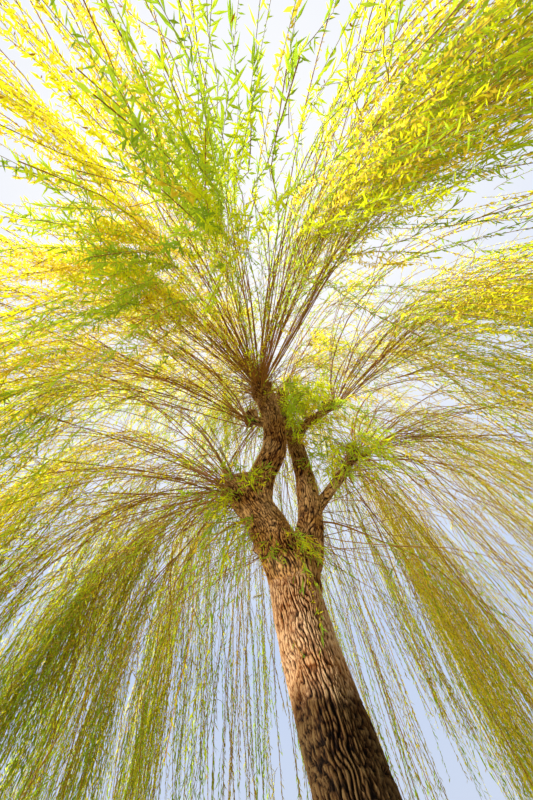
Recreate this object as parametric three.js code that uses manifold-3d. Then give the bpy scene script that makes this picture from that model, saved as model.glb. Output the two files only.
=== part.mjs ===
// Pollarded weeping willow in spring leaf, as one tree of separate solids.
// Millimetres, +Z up. The origin is the centre of the trunk's flat cut at ground level.
// The trunk leans a little to -X, and the open side that people look in from is -Y.

import * as THREE from 'three';
import { mergeVertices } from 'three/addons/utils/BufferGeometryUtils.js';
import Module from 'manifold-3d';

const wasm = await Module();
wasm.setup();

// Air between a piece and what carries it.
const FIT_GAP = 0.36;
// The same between two stems that share a head: their three sides halve a margin.
const TWIG_GAP = 0.8;
// Detail finer than this is smoothed away after pieces are fused.
const FUSE_TOLERANCE = 1;

// Trunk: centre line from the ground to the fork, then its radius and root flare.
const TRUNK_LINE = [
  [0, 0, 0],
  [-60, 0, 600],
  [-200, -15, 1750],
  [-282, -20, 2500],
  [-298, -25, 2950],
  [-290, -30, 3330],
];
const TRUNK_SIDES = 16;
const TRUNK_STEPS = 14;
const TRUNK_RADIUS = 236;
const TRUNK_TAPER = 0.0125;
const FLARE_RADIUS = 92;
const FLARE_RISE = 330;
const FLARE_LOBES = 5;
const FLARE_LOBE_DEPTH = 0.42;
const TRUNK_UNEVENNESS = 7;
// The last section narrows to this share under the fork.
const TRUNK_TOP_SHARE = 0.8;

// Limbs: each starts inside its carrier, tapers, and swells to a rounded head at its tip.
const LIMBS = [
  {
    name: 'left_limb',
    carriers: ['trunk'],
    line: [[-300, -40, 3060], [-415, -160, 3440], [-550, -345, 3700], [-680, -515, 3985]],
    base: 205,
    tip: 158,
    head: 1.12,
  },
  {
    name: 'right_limb',
    carriers: ['trunk', 'left_limb'],
    line: [[-170, -25, 3180], [-10, -70, 3580], [48, -165, 4030], [66, -310, 4620], [62, -450, 5400],
      [98, -520, 5900]],
    base: 126,
    tip: 66,
    head: 1.35,
  },
  {
    name: 'middle_stem',
    carriers: ['left_limb'],
    line: [[-520, -330, 3690], [-385, -510, 3920], [-222, -650, 4090], [-150, -760, 4420],
      [-158, -830, 4900], [-228, -870, 5440]],
    base: 142,
    tip: 98,
    head: 1.3,
  },
  {
    name: 'left_knob',
    carriers: ['middle_stem'],
    line: [[-170, -775, 4480], [-300, -805, 4510], [-425, -825, 4620]],
    base: 56,
    tip: 46,
    head: 1.45,
  },
  {
    name: 'right_arm',
    carriers: ['right_limb'],
    line: [[0, -80, 3610], [230, -75, 3860], [555, -90, 4180], [840, 20, 4670]],
    base: 66,
    tip: 46,
    head: 1.5,
  },
  {
    name: 'upper_right_arm',
    carriers: ['right_limb'],
    line: [[50, -290, 4560], [225, -360, 4870], [480, -410, 5000], [745, -425, 5210]],
    base: 64,
    tip: 50,
    head: 1.45,
  },
];
const LIMB_SIDES = 10;
const LIMB_STEPS = 8;
const LIMB_UNEVENNESS = 0.06;
// The head's swelling starts here along a limb, and its rounding here.
const HEAD_FROM = 0.72;
const HEAD_ROUND_FROM = 0.9;
const HEAD_ROUND_LEFT = 0.35;

// Crown: its axis over the ground, and how low its strands hang at a distance from it.
const CROWN_AXIS = new THREE.Vector3(0, -420, 0);
const CROWN_RADIUS = 4450;
const OPEN_UNDER_RADIUS = 2350;
const OPEN_UNDER_HEIGHT = 3200;
const HANG_SLOPE = 1.35;
const HANG_LOWEST = 950;
const HANG_SPREAD = 750;
// The top tier keeps above this height and inside this radius.
const TOP_TIER_FLOOR = 5700;
const TOP_TIER_RADIUS = 3350;
// Strands of the side tier may start this far up between those of the top tier.
const TIER_MIXING = 900;

// Top tier: short arching masses round the two highest heads.
const TOP_MASSES = [
  { seat: 'right_limb', apex: 7640 },
  { seat: 'right_limb', apex: 7560 },
  { seat: 'right_limb', apex: 7660 },
  { seat: 'middle_stem', apex: 7420 },
  { seat: 'middle_stem', apex: 7350 },
  { seat: 'middle_stem', apex: 7440 },
  { seat: 'middle_stem', apex: 7380 },
  { seat: 'right_limb', apex: 7600 },
];
const TOP_REACH = 3050;
const TOP_HANG = 6100;
const TOP_STRANDS = 6;

// Side tier: long weeping masses all round, counted from +X towards +Y.
// Each names the limb that it grows from and where along that limb it sits.
const SIDE_MASSES = [
  { seat: 'right_arm', along: 0.96 },
  { seat: 'right_arm', along: 0.96 },
  { seat: 'right_arm', along: 0.66 },
  { seat: 'right_limb', along: 0.96 },
  { seat: 'right_limb', along: 0.96 },
  { seat: 'left_limb', along: 0.93 },
  { seat: 'left_limb', along: 0.93 },
  { seat: 'left_limb', along: 0.93 },
  { seat: 'left_knob', along: 0.95 },
  { seat: 'middle_stem', along: 0.96 },
  { seat: 'middle_stem', along: 0.96 },
  { seat: 'middle_stem', along: 0.96 },
  { seat: 'upper_right_arm', along: 0.96 },
  { seat: 'upper_right_arm', along: 0.96 },
];
const SIDE_APEX = 5850;
const SIDE_APEX_GAIN = 0.7;
const SIDE_LOWEST_SEAT = 3970;
const SIDE_STRANDS = 7;

// Low shoots: small hanging masses on the fork and under the left limb.
const LOW_MASSES = [
  { name: 'fork_sprouts', seat: 'trunk', along: 0.93, azimuth: -75, reach: 330, rise: 60, drop: 900 },
  { name: 'left_low_shoots', seat: 'left_limb', along: 0.5, azimuth: 172, reach: 620, rise: 90, drop: 1500 },
  {
    name: 'right_low_shoots', seat: 'right_limb', along: 0.2, azimuth: 38, reach: 2100, rise: 200, drop: 1200,
  },
];
const LOW_STRANDS = 2;
const LOW_HALF_WEDGE = 0.5;

// A shoot's curve: its first handle stands this share of the way out and this share of
// its rise up, its second handle this far out and up, and its apex gains this share.
const SHOOT_LEAN = 0.12;
const SHOOT_LIFT = 0.9;
const SHOOT_REACH = 0.96;
const SHOOT_CROWN = 1.3;
const TOP_APEX_SHARE = 0.83;
const SIDE_APEX_SHARE = 0.68;
// A strand's curve: how far out and up its first handle is, and where it turns down.
const STRAND_LEAN = 0.55;
const STRAND_LIFT = 0.1;
const STRAND_SHOULDER = 0.15;
// Strands leave a stem between these shares of its length.
const STRANDS_FROM = 0.3;
const STRANDS_TO = 0.88;
// A strand's foot: its least share of the spread and of the half wedge, and the rest at random.
const FOOT_SPREAD = [0.25, 0.6];
const FOOT_TURN = [0.3, 0.55];

// How far off its limb's middle a stem is rooted, as a share of the limb's radius.
const TOP_ROOT_OFFSET = 0.45;
const SIDE_ROOT_OFFSET = 0.55;
const LOW_ROOT_OFFSET = 0.8;

// Twigs and sprays. One spray stands for a bunch of leafy twigs.
const STEM_RADIUS = 19;
const STEM_TIP_RADIUS = 6;
const STEM_STEPS = 10;
const STRAND_RADIUS = 9;
const STRAND_TIP_RADIUS = 5;
const STRAND_STEPS = 5;
// Strands stand closer together towards the outside of the crown.
const STRAND_CROWDING = 0.65;
const TWIG_SIDES = 3;
const SPRAY_LENGTH = 780;
const SPRAY_WIDTH = 115;
const SPRAY_THICKNESS = 30;
const SPRAY_ROOT = 24;
// A strand ends this share of a spray above its foot, and a spray hangs on from there.
const TIP_SPRAY_SHARE = 0.8;
// A spray is widest this far along it.
const SPRAY_BELT = 0.35;
const SPRAY_ANGLE = 20;
const SPRAYS_ON_STEM = 3;
const SPRAYS_FROM = 0.2;
const SPRAYS_TO = 0.92;
const SPRAY_AT_TIP = 0.975;
// Each spray turns this far round its twig from the last one, in radians.
const SPRAY_TURN = 2.4;
const SPRAY_DROOP = 0.35;
// Sprays past this share of a twig lean out less.
const TIP_FROM = 0.9;
const TIP_LEAN_SHARE = 0.4;
// Twigs and sprays of other masses and limbs keep at least this far off.
const CLEARANCE = 42;
const CLEARANCE_STEP = 80;

const BARK = new THREE.MeshStandardMaterial({ color: '#6f553a', roughness: 0.95, metalness: 0 });
const LIMB_BARK = new THREE.MeshStandardMaterial({ color: '#7a5f41', roughness: 0.92, metalness: 0 });
const TOP_LEAF = new THREE.MeshStandardMaterial({ color: '#c9c93a', roughness: 0.6, metalness: 0 });
const SIDE_LEAF = new THREE.MeshStandardMaterial({ color: '#a7b62f', roughness: 0.6, metalness: 0 });

const UP = new THREE.Vector3(0, 0, 1);

/** Seeded random numbers from 0 to 1, the same on every run. */
function seededRandom(seed) {
  let state = seed >>> 0;
  return () => {
    state = (state + 0x6d2b79f5) >>> 0;
    let mixed = Math.imul(state ^ (state >>> 15), state | 1);
    mixed = (mixed ^ (mixed + Math.imul(mixed ^ (mixed >>> 7), mixed | 61))) >>> 0;
    return ((mixed ^ (mixed >>> 14)) >>> 0) / 4294967296;
  };
}

/** Level direction at an angle in degrees from +X towards +Y. */
function compass(degrees) {
  const angle = THREE.MathUtils.degToRad(degrees);
  return new THREE.Vector3(Math.cos(angle), Math.sin(angle), 0);
}

function vectorsFrom(rows) {
  return rows.map((row) => new THREE.Vector3(...row));
}

/** Distance from an upright line through a centre, measured level. */
function levelDistance(point, centre) {
  return Math.hypot(point.x - centre.x, point.y - centre.y);
}

/**
 * Bends a capped cylinder along a curve. radiusAt(t, angle) gives its outline, and
 * sideways is the level direction that its sections line up with. Level sections
 * stay horizontal, as on the trunk, whose foot is cut flat. A margin grows it on all
 * sides and at both ends, for cutting a neighbour clear of it.
 */
function bentCylinder({ curve, radiusAt, sides, steps, sideways, level = false, margin = 0 }) {
  const geometry = new THREE.CylinderGeometry(1, 1, 1, sides, steps);
  const position = geometry.attributes.position;
  const vertex = new THREE.Vector3();
  const sideAngle = (2 * Math.PI) / sides;
  for (let i = 0; i < position.count; i += 1) {
    vertex.fromBufferAttribute(position, i);
    const t = vertex.y + 0.5;
    const onRim = Math.hypot(vertex.x, vertex.z) > 0.5;
    const along = level ? UP.clone() : curve.getTangent(t);
    const across = sideways.clone().addScaledVector(along, -sideways.dot(along)).normalize();
    const outward = across.clone().cross(along);
    const side = (Math.round(Math.atan2(vertex.x, vertex.z) / sideAngle) + sides) % sides;
    const radius = onRim ? radiusAt(t, side * sideAngle) + margin : 0;
    const overrun = margin * (Math.floor(t) - Math.floor(1 - t));
    const point = curve.getPoint(t)
      .addScaledVector(along, overrun)
      .addScaledVector(across, radius * Math.sin(side * sideAngle))
      .addScaledVector(outward, radius * Math.cos(side * sideAngle));
    position.setXYZ(i, point.x, point.y, point.z);
  }
  return geometry;
}

/** Turns a closed three.js geometry into a solid for joining and cutting. */
function solidFrom(geometry) {
  geometry.deleteAttribute('normal');
  geometry.deleteAttribute('uv');
  const merged = mergeVertices(geometry, 1e-4);
  return new wasm.Manifold(new wasm.Mesh({
    numProp: 3,
    vertProperties: new Float32Array(merged.attributes.position.array),
    triVerts: new Uint32Array(merged.index.array),
  }));
}

/** Keeps the main body of a solid, without loose scraps or sealed hollows. */
function mainBody(solid) {
  return solid.decompose().reduce((best, piece) => (piece.volume() > best.volume() ? piece : best));
}

function meshFrom(solid, name, material) {
  const { vertProperties, triVerts } = solid.getMesh();
  const geometry = new THREE.BufferGeometry();
  geometry.setAttribute('position', new THREE.BufferAttribute(vertProperties, 3));
  geometry.setIndex(new THREE.BufferAttribute(triVerts, 1));
  geometry.computeVertexNormals();
  const mesh = new THREE.Mesh(geometry, material);
  mesh.name = name;
  return mesh;
}

/** The trunk's radius at a height and angle: taper, root flare in lobes, slight waves. */
function trunkRadius(height, angle) {
  const shaft = TRUNK_RADIUS - TRUNK_TAPER * height;
  const lobes = 1 + FLARE_LOBE_DEPTH * Math.cos(FLARE_LOBES * angle + 0.6);
  const flare = FLARE_RADIUS * Math.exp(-height / FLARE_RISE) * lobes;
  const waves = Math.sin(2 * angle + height / 700) + Math.sin(3 * angle - height / 500);
  return shaft + flare + TRUNK_UNEVENNESS * waves;
}

function trunkSolid(margin) {
  const curve = new THREE.CatmullRomCurve3(vectorsFrom(TRUNK_LINE));
  return solidFrom(bentCylinder({
    curve,
    radiusAt: (t, angle) => trunkRadius(curve.getPoint(t).z, angle) * (t < 1 ? 1 : TRUNK_TOP_SHARE),
    sides: TRUNK_SIDES,
    steps: TRUNK_STEPS,
    sideways: new THREE.Vector3(1, 0, 0),
    level: true,
    margin,
  }));
}

/** A limb's radius along it: taper, swollen head, rounded end, slight waves. */
function limbRadius(limb, t, angle) {
  const taper = THREE.MathUtils.lerp(limb.base, limb.tip, t);
  const swelling = 1 + (limb.head - 1) * THREE.MathUtils.smoothstep(t, HEAD_FROM, 0.95);
  const rounding = Math.max(0, (t - HEAD_ROUND_FROM) / (1 - HEAD_ROUND_FROM));
  const end = 1 - (1 - HEAD_ROUND_LEFT) * rounding * rounding;
  const waves = 1 + LIMB_UNEVENNESS * Math.sin(2 * angle + 9 * t) * Math.cos(5 * t + angle);
  return taper * swelling * end * waves;
}

function limbSolid(limb, margin) {
  return solidFrom(bentCylinder({
    curve: limb.curve,
    radiusAt: (t, angle) => limbRadius(limb, t, angle),
    sides: LIMB_SIDES,
    steps: LIMB_STEPS,
    sideways: limb.sideways,
    margin,
  }));
}

/** Points along a curve, one about every CLEARANCE_STEP. */
function pointsAlong(curve, from = 0, to = 1) {
  const count = Math.max(2, Math.ceil(((to - from) * curve.getLength()) / CLEARANCE_STEP));
  return Array.from({ length: count + 1 }, (_, i) => curve.getPoint(from + ((to - from) * i) / count));
}

// Space already taken: points with the radius of the piece there and its owner.
const taken = [];

function claim(owner, points, radius) {
  points.forEach((point) => taken.push({ owner, point, radius }));
}

/** True where every point is clear of all that belongs to other owners. */
function isFree(owner, points, radius) {
  return points.every((point) => taken.every((other) => (
    other.owner === owner || point.distanceTo(other.point) > other.radius + radius + CLEARANCE
  )));
}

/** How low a strand may hang at a distance from the crown's axis. */
function hangHeight(distance, chance) {
  const lowest = OPEN_UNDER_HEIGHT - HANG_SLOPE * (distance - OPEN_UNDER_RADIUS);
  return Math.max(HANG_LOWEST, lowest) + HANG_SPREAD * chance;
}

/** A shoot that rises from its root, arches over and hangs straight down to its foot. */
function archingShoot(root, foot, rise) {
  const out = foot.clone().sub(root).setZ(0);
  return new THREE.CubicBezierCurve3(
    root,
    root.clone().addScaledVector(out, SHOOT_LEAN).addScaledVector(UP, SHOOT_LIFT * rise),
    root.clone().addScaledVector(out, SHOOT_REACH).setZ(root.z + SHOOT_CROWN * rise),
    foot,
  );
}

/** A side strand that leaves a shoot, bends over and hangs down to its foot. */
function hangingStrand(start, foot) {
  const out = foot.clone().sub(start).setZ(0);
  const drop = start.z - foot.z;
  return new THREE.CubicBezierCurve3(
    start,
    start.clone().addScaledVector(out, STRAND_LEAN).addScaledVector(UP, STRAND_LIFT * out.length()),
    foot.clone().setZ(start.z - STRAND_SHOULDER * drop),
    foot,
  );
}

function twigSolid({ curve, radius, tipRadius, steps, sideways, margin = 0 }) {
  return solidFrom(bentCylinder({
    curve,
    radiusAt: (t) => THREE.MathUtils.lerp(radius, tipRadius, t),
    sides: TWIG_SIDES,
    steps,
    sideways,
    margin,
  }));
}

function stemSolid(mass, margin) {
  return twigSolid({
    curve: mass.stem,
    radius: STEM_RADIUS,
    tipRadius: STEM_TIP_RADIUS,
    steps: STEM_STEPS,
    sideways: mass.sideways,
    margin,
  });
}

function strandSolid(mass, strand) {
  return twigSolid({
    curve: strand,
    radius: STRAND_RADIUS,
    tipRadius: STRAND_TIP_RADIUS,
    steps: STRAND_STEPS,
    sideways: mass.sideways,
  });
}

/** A spray: an eight-faced blade whose root is sunk past the twig's middle. */
function sprayPlacement(curve, t, turn, length) {
  const along = curve.getTangent(t);
  const level = new THREE.Vector3().crossVectors(along, UP);
  const aside = level.lengthSq() > 1e-4 ? level.normalize() : new THREE.Vector3(1, 0, 0);
  aside.applyAxisAngle(along, turn);
  const lean = THREE.MathUtils.degToRad(t > TIP_FROM ? SPRAY_ANGLE * TIP_LEAN_SHARE : SPRAY_ANGLE);
  const direction = along.clone().multiplyScalar(Math.cos(lean)).addScaledVector(aside, Math.sin(lean));
  direction.addScaledVector(UP, -SPRAY_DROOP).normalize();
  const root = curve.getPoint(t);
  const tip = root.clone().addScaledVector(direction, length - SPRAY_ROOT);
  return { root, tip, direction, length };
}

function spraySolid({ root, direction, length }, turn) {
  const geometry = new THREE.OctahedronGeometry(1, 0);
  const position = geometry.attributes.position;
  for (let i = 0; i < position.count; i += 1) {
    const share = [0, SPRAY_BELT, 1][Math.round(position.getY(i)) + 1];
    position.setY(i, share * length - SPRAY_ROOT);
  }
  geometry.scale(SPRAY_WIDTH / 2, 1, SPRAY_THICKNESS / 2);
  const flat = new THREE.Vector3(Math.cos(turn), Math.sin(turn), 0.2);
  const face = flat.addScaledVector(direction, -flat.dot(direction)).normalize();
  const across = new THREE.Vector3().crossVectors(direction, face);
  geometry.applyMatrix4(new THREE.Matrix4().makeBasis(across, direction, face).setPosition(root));
  return solidFrom(geometry);
}

/** The points that a spray takes up, for the clearance test. */
function sprayPoints({ root, tip }) {
  return [0.25, 0.5, 0.75, 1].map((share) => root.clone().lerp(tip, share));
}

/** True where a twig's points keep to the mass's own wedge and tier. */
function insideSpace(mass, points) {
  if (!mass.halfWedge) {
    return true;
  }
  return points.every((point) => {
    const distance = levelDistance(point, CROWN_AXIS);
    const offset = point.clone().sub(CROWN_AXIS).setZ(0).normalize().dot(mass.outward);
    const aside = Math.acos(THREE.MathUtils.clamp(offset, -1, 1));
    const inTier = mass.top
      ? point.z > TOP_TIER_FLOOR && distance < TOP_TIER_RADIUS
      : point.z < TOP_TIER_FLOOR + TIER_MIXING || distance > TOP_TIER_RADIUS;
    return aside < mass.halfWedge && inTier;
  });
}

/** Where a mass grows: its root inside the limb, off centre towards its own side. */
function seatRoot(mass, limbs) {
  const limb = limbs[mass.seat];
  const centre = limb.curve.getPoint(mass.along);
  const offset = limbRadius(limb, mass.along, 0) * mass.offset;
  return centre.addScaledVector(mass.outward, offset);
}

/** Plans a mass's stem: a shoot from its seat to its foot. */
function planStem(mass, limbs) {
  const root = seatRoot(mass, limbs);
  const foot = mass.footFrom(root);
  const rise = mass.riseFrom(root);
  mass.centre = mass.halfWedge ? CROWN_AXIS : root;
  mass.stem = archingShoot(root, foot, rise);
  mass.sideways = new THREE.Vector3().crossVectors(mass.outward, UP);
  claim(mass.name, pointsAlong(mass.stem), STEM_RADIUS);
}

/** Where the strand at a place on the stem hangs down to. */
function strandFoot(mass, start, index, random) {
  const side = index % 2 === 0 ? 1 : -1;
  const further = mass.spread * (FOOT_SPREAD[0] + FOOT_SPREAD[1] * random());
  const distance = levelDistance(start, mass.centre) + further;
  const limited = Math.min(distance, mass.reach);
  const wedge = THREE.MathUtils.radToDeg(mass.halfWedge ?? LOW_HALF_WEDGE);
  const turn = side * wedge * (FOOT_TURN[0] + FOOT_TURN[1] * random());
  const level = mass.centre.clone().addScaledVector(compass(mass.azimuth + turn), limited);
  return level.setZ(mass.hangFrom(limited, start, random()) + TIP_SPRAY_SHARE * mass.sprayLength);
}

/** Adds the sprays along a twig that stay inside the mass's space. */
function addSprays(mass, curve, places, solids, random) {
  places.forEach((t, index) => {
    const turn = index * SPRAY_TURN + random();
    const spray = sprayPlacement(curve, t, turn, mass.sprayLength * (0.8 + 0.35 * random()));
    const points = sprayPoints(spray);
    if (insideSpace(mass, points) && isFree(mass.name, points, SPRAY_WIDTH / 2)) {
      claim(mass.name, points, SPRAY_WIDTH / 2);
      solids.push(spraySolid(spray, turn));
    }
  });
}

/** Even places between two shares of a length, each in the middle of its part. */
function evenPlaces(count, from, to) {
  return Array.from({ length: count }, (_, i) => from + ((to - from) * (i + 0.5)) / count);
}

/** Where a twig's sprays sit: evenly from a share of its length, and one at its tip. */
function sprayPlaces(count, from) {
  return [...evenPlaces(count - 1, from, SPRAYS_TO), SPRAY_AT_TIP];
}

/** Grows one mass: its stem, hanging strands and sprays, fused into one solid. */
function massSolid(mass, neighbours) {
  const random = seededRandom(mass.seed);
  const solids = [stemSolid(mass, 0)];
  const strands = [];
  evenPlaces(mass.strands, 0, 1).forEach((share, index) => {
    const t = THREE.MathUtils.lerp(STRANDS_FROM, STRANDS_TO, share ** STRAND_CROWDING);
    const start = mass.stem.getPoint(t);
    const strand = hangingStrand(start, strandFoot(mass, start, index, random));
    const points = pointsAlong(strand, 0.15);
    if (insideSpace(mass, points) && isFree(mass.name, points, STRAND_RADIUS)) {
      claim(mass.name, points, STRAND_RADIUS);
      strands.push(strand);
      solids.push(strandSolid(mass, strand));
    }
  });
  addSprays(mass, mass.stem, sprayPlaces(SPRAYS_ON_STEM, mass.spraysFrom), solids, random);
  strands.forEach((strand) => {
    addSprays(mass, strand, sprayPlaces(mass.strandSprays, SPRAYS_FROM), solids, random);
  });
  const fused = wasm.Manifold.union(solids).simplify(FUSE_TOLERANCE);
  return mainBody(neighbours.reduce((solid, other) => solid.subtract(other), mainBody(fused)));
}

function topMass(entry, index) {
  const azimuth = (index + 0.5) * (360 / TOP_MASSES.length);
  return {
    name: `top_foliage_${index + 1}`,
    seat: entry.seat,
    along: 0.97,
    offset: TOP_ROOT_OFFSET,
    azimuth,
    outward: compass(azimuth),
    halfWedge: Math.PI / TOP_MASSES.length,
    top: true,
    reach: TOP_REACH,
    spread: 500,
    strands: TOP_STRANDS,
    spraysFrom: 0.3,
    strandSprays: 3,
    sprayLength: SPRAY_LENGTH * 0.65,
    seed: 100 + index,
    footFrom: () => CROWN_AXIS.clone().addScaledVector(compass(azimuth), TOP_REACH).setZ(TOP_HANG),
    riseFrom: (root) => (entry.apex - root.z) / TOP_APEX_SHARE,
    hangFrom: (distance, start, chance) => Math.max(TOP_TIER_FLOOR + 60, start.z - 800 - 600 * chance),
  };
}

function sideMass(entry, index) {
  const azimuth = (index + 0.5) * (360 / SIDE_MASSES.length);
  const reach = CROWN_RADIUS * (index % 2 === 0 ? 0.96 : 0.985);
  return {
    name: `side_foliage_${index + 1}`,
    seat: entry.seat,
    along: entry.along,
    offset: SIDE_ROOT_OFFSET,
    azimuth,
    outward: compass(azimuth),
    halfWedge: Math.PI / SIDE_MASSES.length,
    top: false,
    reach,
    spread: 700,
    strands: SIDE_STRANDS,
    spraysFrom: 0.5,
    strandSprays: 4,
    sprayLength: SPRAY_LENGTH,
    seed: 200 + index,
    footFrom: () => CROWN_AXIS.clone().addScaledVector(compass(azimuth), reach * 0.97)
      .setZ(HANG_LOWEST + 350 * (index % 3) + TIP_SPRAY_SHARE * SPRAY_LENGTH),
    riseFrom: (root) => (
      (SIDE_APEX - root.z + SIDE_APEX_GAIN * (root.z - SIDE_LOWEST_SEAT)) / SIDE_APEX_SHARE
    ),
    hangFrom: (distance, start, chance) => hangHeight(distance, chance),
  };
}

function lowMass(entry, index) {
  return {
    name: entry.name,
    seat: entry.seat,
    along: entry.along,
    offset: LOW_ROOT_OFFSET,
    azimuth: entry.azimuth,
    outward: compass(entry.azimuth),
    top: false,
    reach: entry.reach,
    spread: 200,
    strands: LOW_STRANDS,
    spraysFrom: 0.4,
    strandSprays: 2,
    sprayLength: SPRAY_LENGTH * 0.5,
    seed: 300 + index,
    footFrom: (root) => root.clone().addScaledVector(compass(entry.azimuth), entry.reach)
      .setZ(root.z - entry.drop),
    riseFrom: () => entry.rise,
    hangFrom: (distance, start, chance) => start.z - entry.drop * (0.3 + 0.4 * chance),
  };
}

/** Builds the trunk and limbs, each cut 0.3 mm clear of what carries it. */
function buildWood() {
  const wood = {
    trunk: {
      name: 'trunk',
      curve: new THREE.CatmullRomCurve3(vectorsFrom(TRUNK_LINE)),
      base: TRUNK_RADIUS,
      tip: TRUNK_RADIUS,
      head: 1,
      solid: trunkSolid(0),
      fat: trunkSolid(FIT_GAP),
    },
  };
  LIMBS.forEach((entry) => {
    const curve = new THREE.CatmullRomCurve3(vectorsFrom(entry.line));
    const limb = { ...entry, curve, sideways: new THREE.Vector3(0.3, 1, 0).normalize() };
    const cut = entry.carriers.reduce(
      (solid, carrier) => solid.subtract(wood[carrier].fat),
      limbSolid(limb, 0),
    );
    wood[entry.name] = { ...limb, solid: mainBody(cut), fat: limbSolid(limb, FIT_GAP) };
  });
  Object.values(wood).forEach((limb) => {
    claim(limb.name, pointsAlong(limb.curve), Math.max(limb.base, limb.tip));
  });
  return wood;
}

/** Builds the whole tree as one group of named meshes. */
function buildTree() {
  const tree = new THREE.Group();
  const wood = buildWood();
  Object.values(wood).forEach((limb) => {
    tree.add(meshFrom(limb.solid, limb.name, limb.name === 'trunk' ? BARK : LIMB_BARK));
  });
  const masses = [...TOP_MASSES.map(topMass), ...SIDE_MASSES.map(sideMass), ...LOW_MASSES.map(lowMass)];
  masses.forEach((mass) => planStem(mass, wood));
  const limbs = Object.values(wood).map((limb) => limb.fat);
  masses.forEach((mass, index) => {
    const sharing = masses.slice(0, index).filter((other) => other.seat === mass.seat);
    const stems = sharing.map((other) => stemSolid(other, TWIG_GAP));
    tree.add(meshFrom(massSolid(mass, [...limbs, ...stems]), mass.name, mass.top ? TOP_LEAF : SIDE_LEAF));
  });
  return tree;
}

export default buildTree();
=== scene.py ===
"""A pollarded weeping willow in spring leaf, seen from under its crown.

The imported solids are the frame: bark meshes with real furrows stand for the trunk and
limbs, and bundles of shoots, strands, leaves and catkins stand for the foliage masses.
They grow by the same rule as the solids do, carried on to finer twigs. Metres, +Z up.
"""
import logging
import math
from dataclasses import dataclass, field, replace
from enum import Enum
from typing import Any, Callable, Sequence

import bpy
import numpy as np
from mathutils import Matrix, Vector


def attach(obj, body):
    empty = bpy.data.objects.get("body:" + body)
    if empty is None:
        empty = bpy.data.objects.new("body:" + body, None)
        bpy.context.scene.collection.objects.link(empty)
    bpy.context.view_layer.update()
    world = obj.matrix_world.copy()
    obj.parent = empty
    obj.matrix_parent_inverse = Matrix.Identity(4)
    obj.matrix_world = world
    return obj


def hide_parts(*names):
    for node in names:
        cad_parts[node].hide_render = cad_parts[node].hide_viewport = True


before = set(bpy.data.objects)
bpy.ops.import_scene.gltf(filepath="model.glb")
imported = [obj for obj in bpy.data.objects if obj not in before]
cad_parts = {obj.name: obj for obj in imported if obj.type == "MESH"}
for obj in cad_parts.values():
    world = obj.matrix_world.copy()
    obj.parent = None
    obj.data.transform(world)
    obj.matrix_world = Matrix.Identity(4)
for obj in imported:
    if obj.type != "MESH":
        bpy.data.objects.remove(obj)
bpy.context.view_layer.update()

logging.basicConfig(level=logging.INFO, format="%(message)s")
LOG = logging.getLogger("willow")

UP = np.array([0.0, 0.0, 1.0])
LEVEL = np.array([1.0, 1.0, 0.0])
TURN = 2 * math.pi
Array = np.ndarray
Range = tuple[float, float]
Material, Node, NodeTree = bpy.types.Material, bpy.types.Node, bpy.types.NodeTree
Object, Socket = bpy.types.Object, bpy.types.NodeSocket


def hex_colour(code: str) -> tuple[float, float, float, float]:
    """Turn an sRGB hex colour into linear red, green, blue and alpha.

    Args:
        code: Six hex digits after a hash sign.

    Returns:
        The linear colour, with alpha 1.
    """
    parts = [int(code[i:i + 2], 16) / 255 for i in (1, 3, 5)]
    linear = [p / 12.92 if p <= 0.04045 else ((p + 0.055) / 1.055) ** 2.4 for p in parts]
    return (*linear, 1.0)


def add_node(tree: NodeTree, kind: str, inputs: dict[Any, Any] | None = None,
             **settings: Any) -> Node:
    """Add a node with its settings, values and links.

    Args:
        tree: The node tree to add to.
        kind: The node's type name.
        inputs: Socket name or number to a value, or to the socket that feeds it.
        settings: The node's own properties.

    Returns:
        The new node.
    """
    node = tree.nodes.new(kind)
    for name, value in settings.items():
        setattr(node, name, value)
    for key, value in (inputs or {}).items():
        if isinstance(value, Socket):
            tree.links.new(value, node.inputs[key])
        else:
            node.inputs[key].default_value = value
    return node


def empty_material(name: str) -> tuple[Material, NodeTree]:
    """Start a material with no nodes in it.

    Args:
        name: The finish's name.

    Returns:
        The material and its node tree.
    """
    made = bpy.data.materials.new(name)
    made.use_nodes = True
    made.node_tree.nodes.clear()
    return made, made.node_tree


def add_object(name: str, data: bpy.types.ID) -> Object:
    """Put an object into the scene, at the origin and unturned.

    Args:
        name: Its name.
        data: Its mesh, light or camera.

    Returns:
        The object.
    """
    made = bpy.data.objects.new(name, data)
    bpy.context.scene.collection.objects.link(made)
    return made


def compass(degrees: float) -> Array:
    """Give the level direction at an angle from +X towards +Y."""
    angle = math.radians(degrees)
    return np.array([math.cos(angle), math.sin(angle), 0.0])


def unit(vector: Array) -> Array:
    """Scale a vector, or each row of an array, to length 1."""
    return vector / np.maximum(np.linalg.norm(vector, axis=-1, keepdims=True), 1e-12)


def smoothstep(values: Array, low: float, high: float) -> Array:
    """Rise smoothly from 0 at one limit to 1 at the other."""
    share = np.clip((values - low) / (high - low), 0.0, 1.0)
    return share * share * (3 - 2 * share)


class SeededRandom:
    """The same seeded random numbers as the solids are grown with."""

    def __init__(self, seed: int) -> None:
        """Start from a whole number."""
        self.state = seed & 0xFFFFFFFF

    def next(self) -> float:
        """Give the next number from 0 to 1."""
        self.state = (self.state + 0x6D2B79F5) & 0xFFFFFFFF
        mixed = ((self.state ^ (self.state >> 15)) * (self.state | 1)) & 0xFFFFFFFF
        mixed ^= (mixed + ((mixed ^ (mixed >> 7)) * (mixed | 61) & 0xFFFFFFFF)) & 0xFFFFFFFF
        return (mixed ^ (mixed >> 14)) / 4294967296


# Finishes


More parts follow.
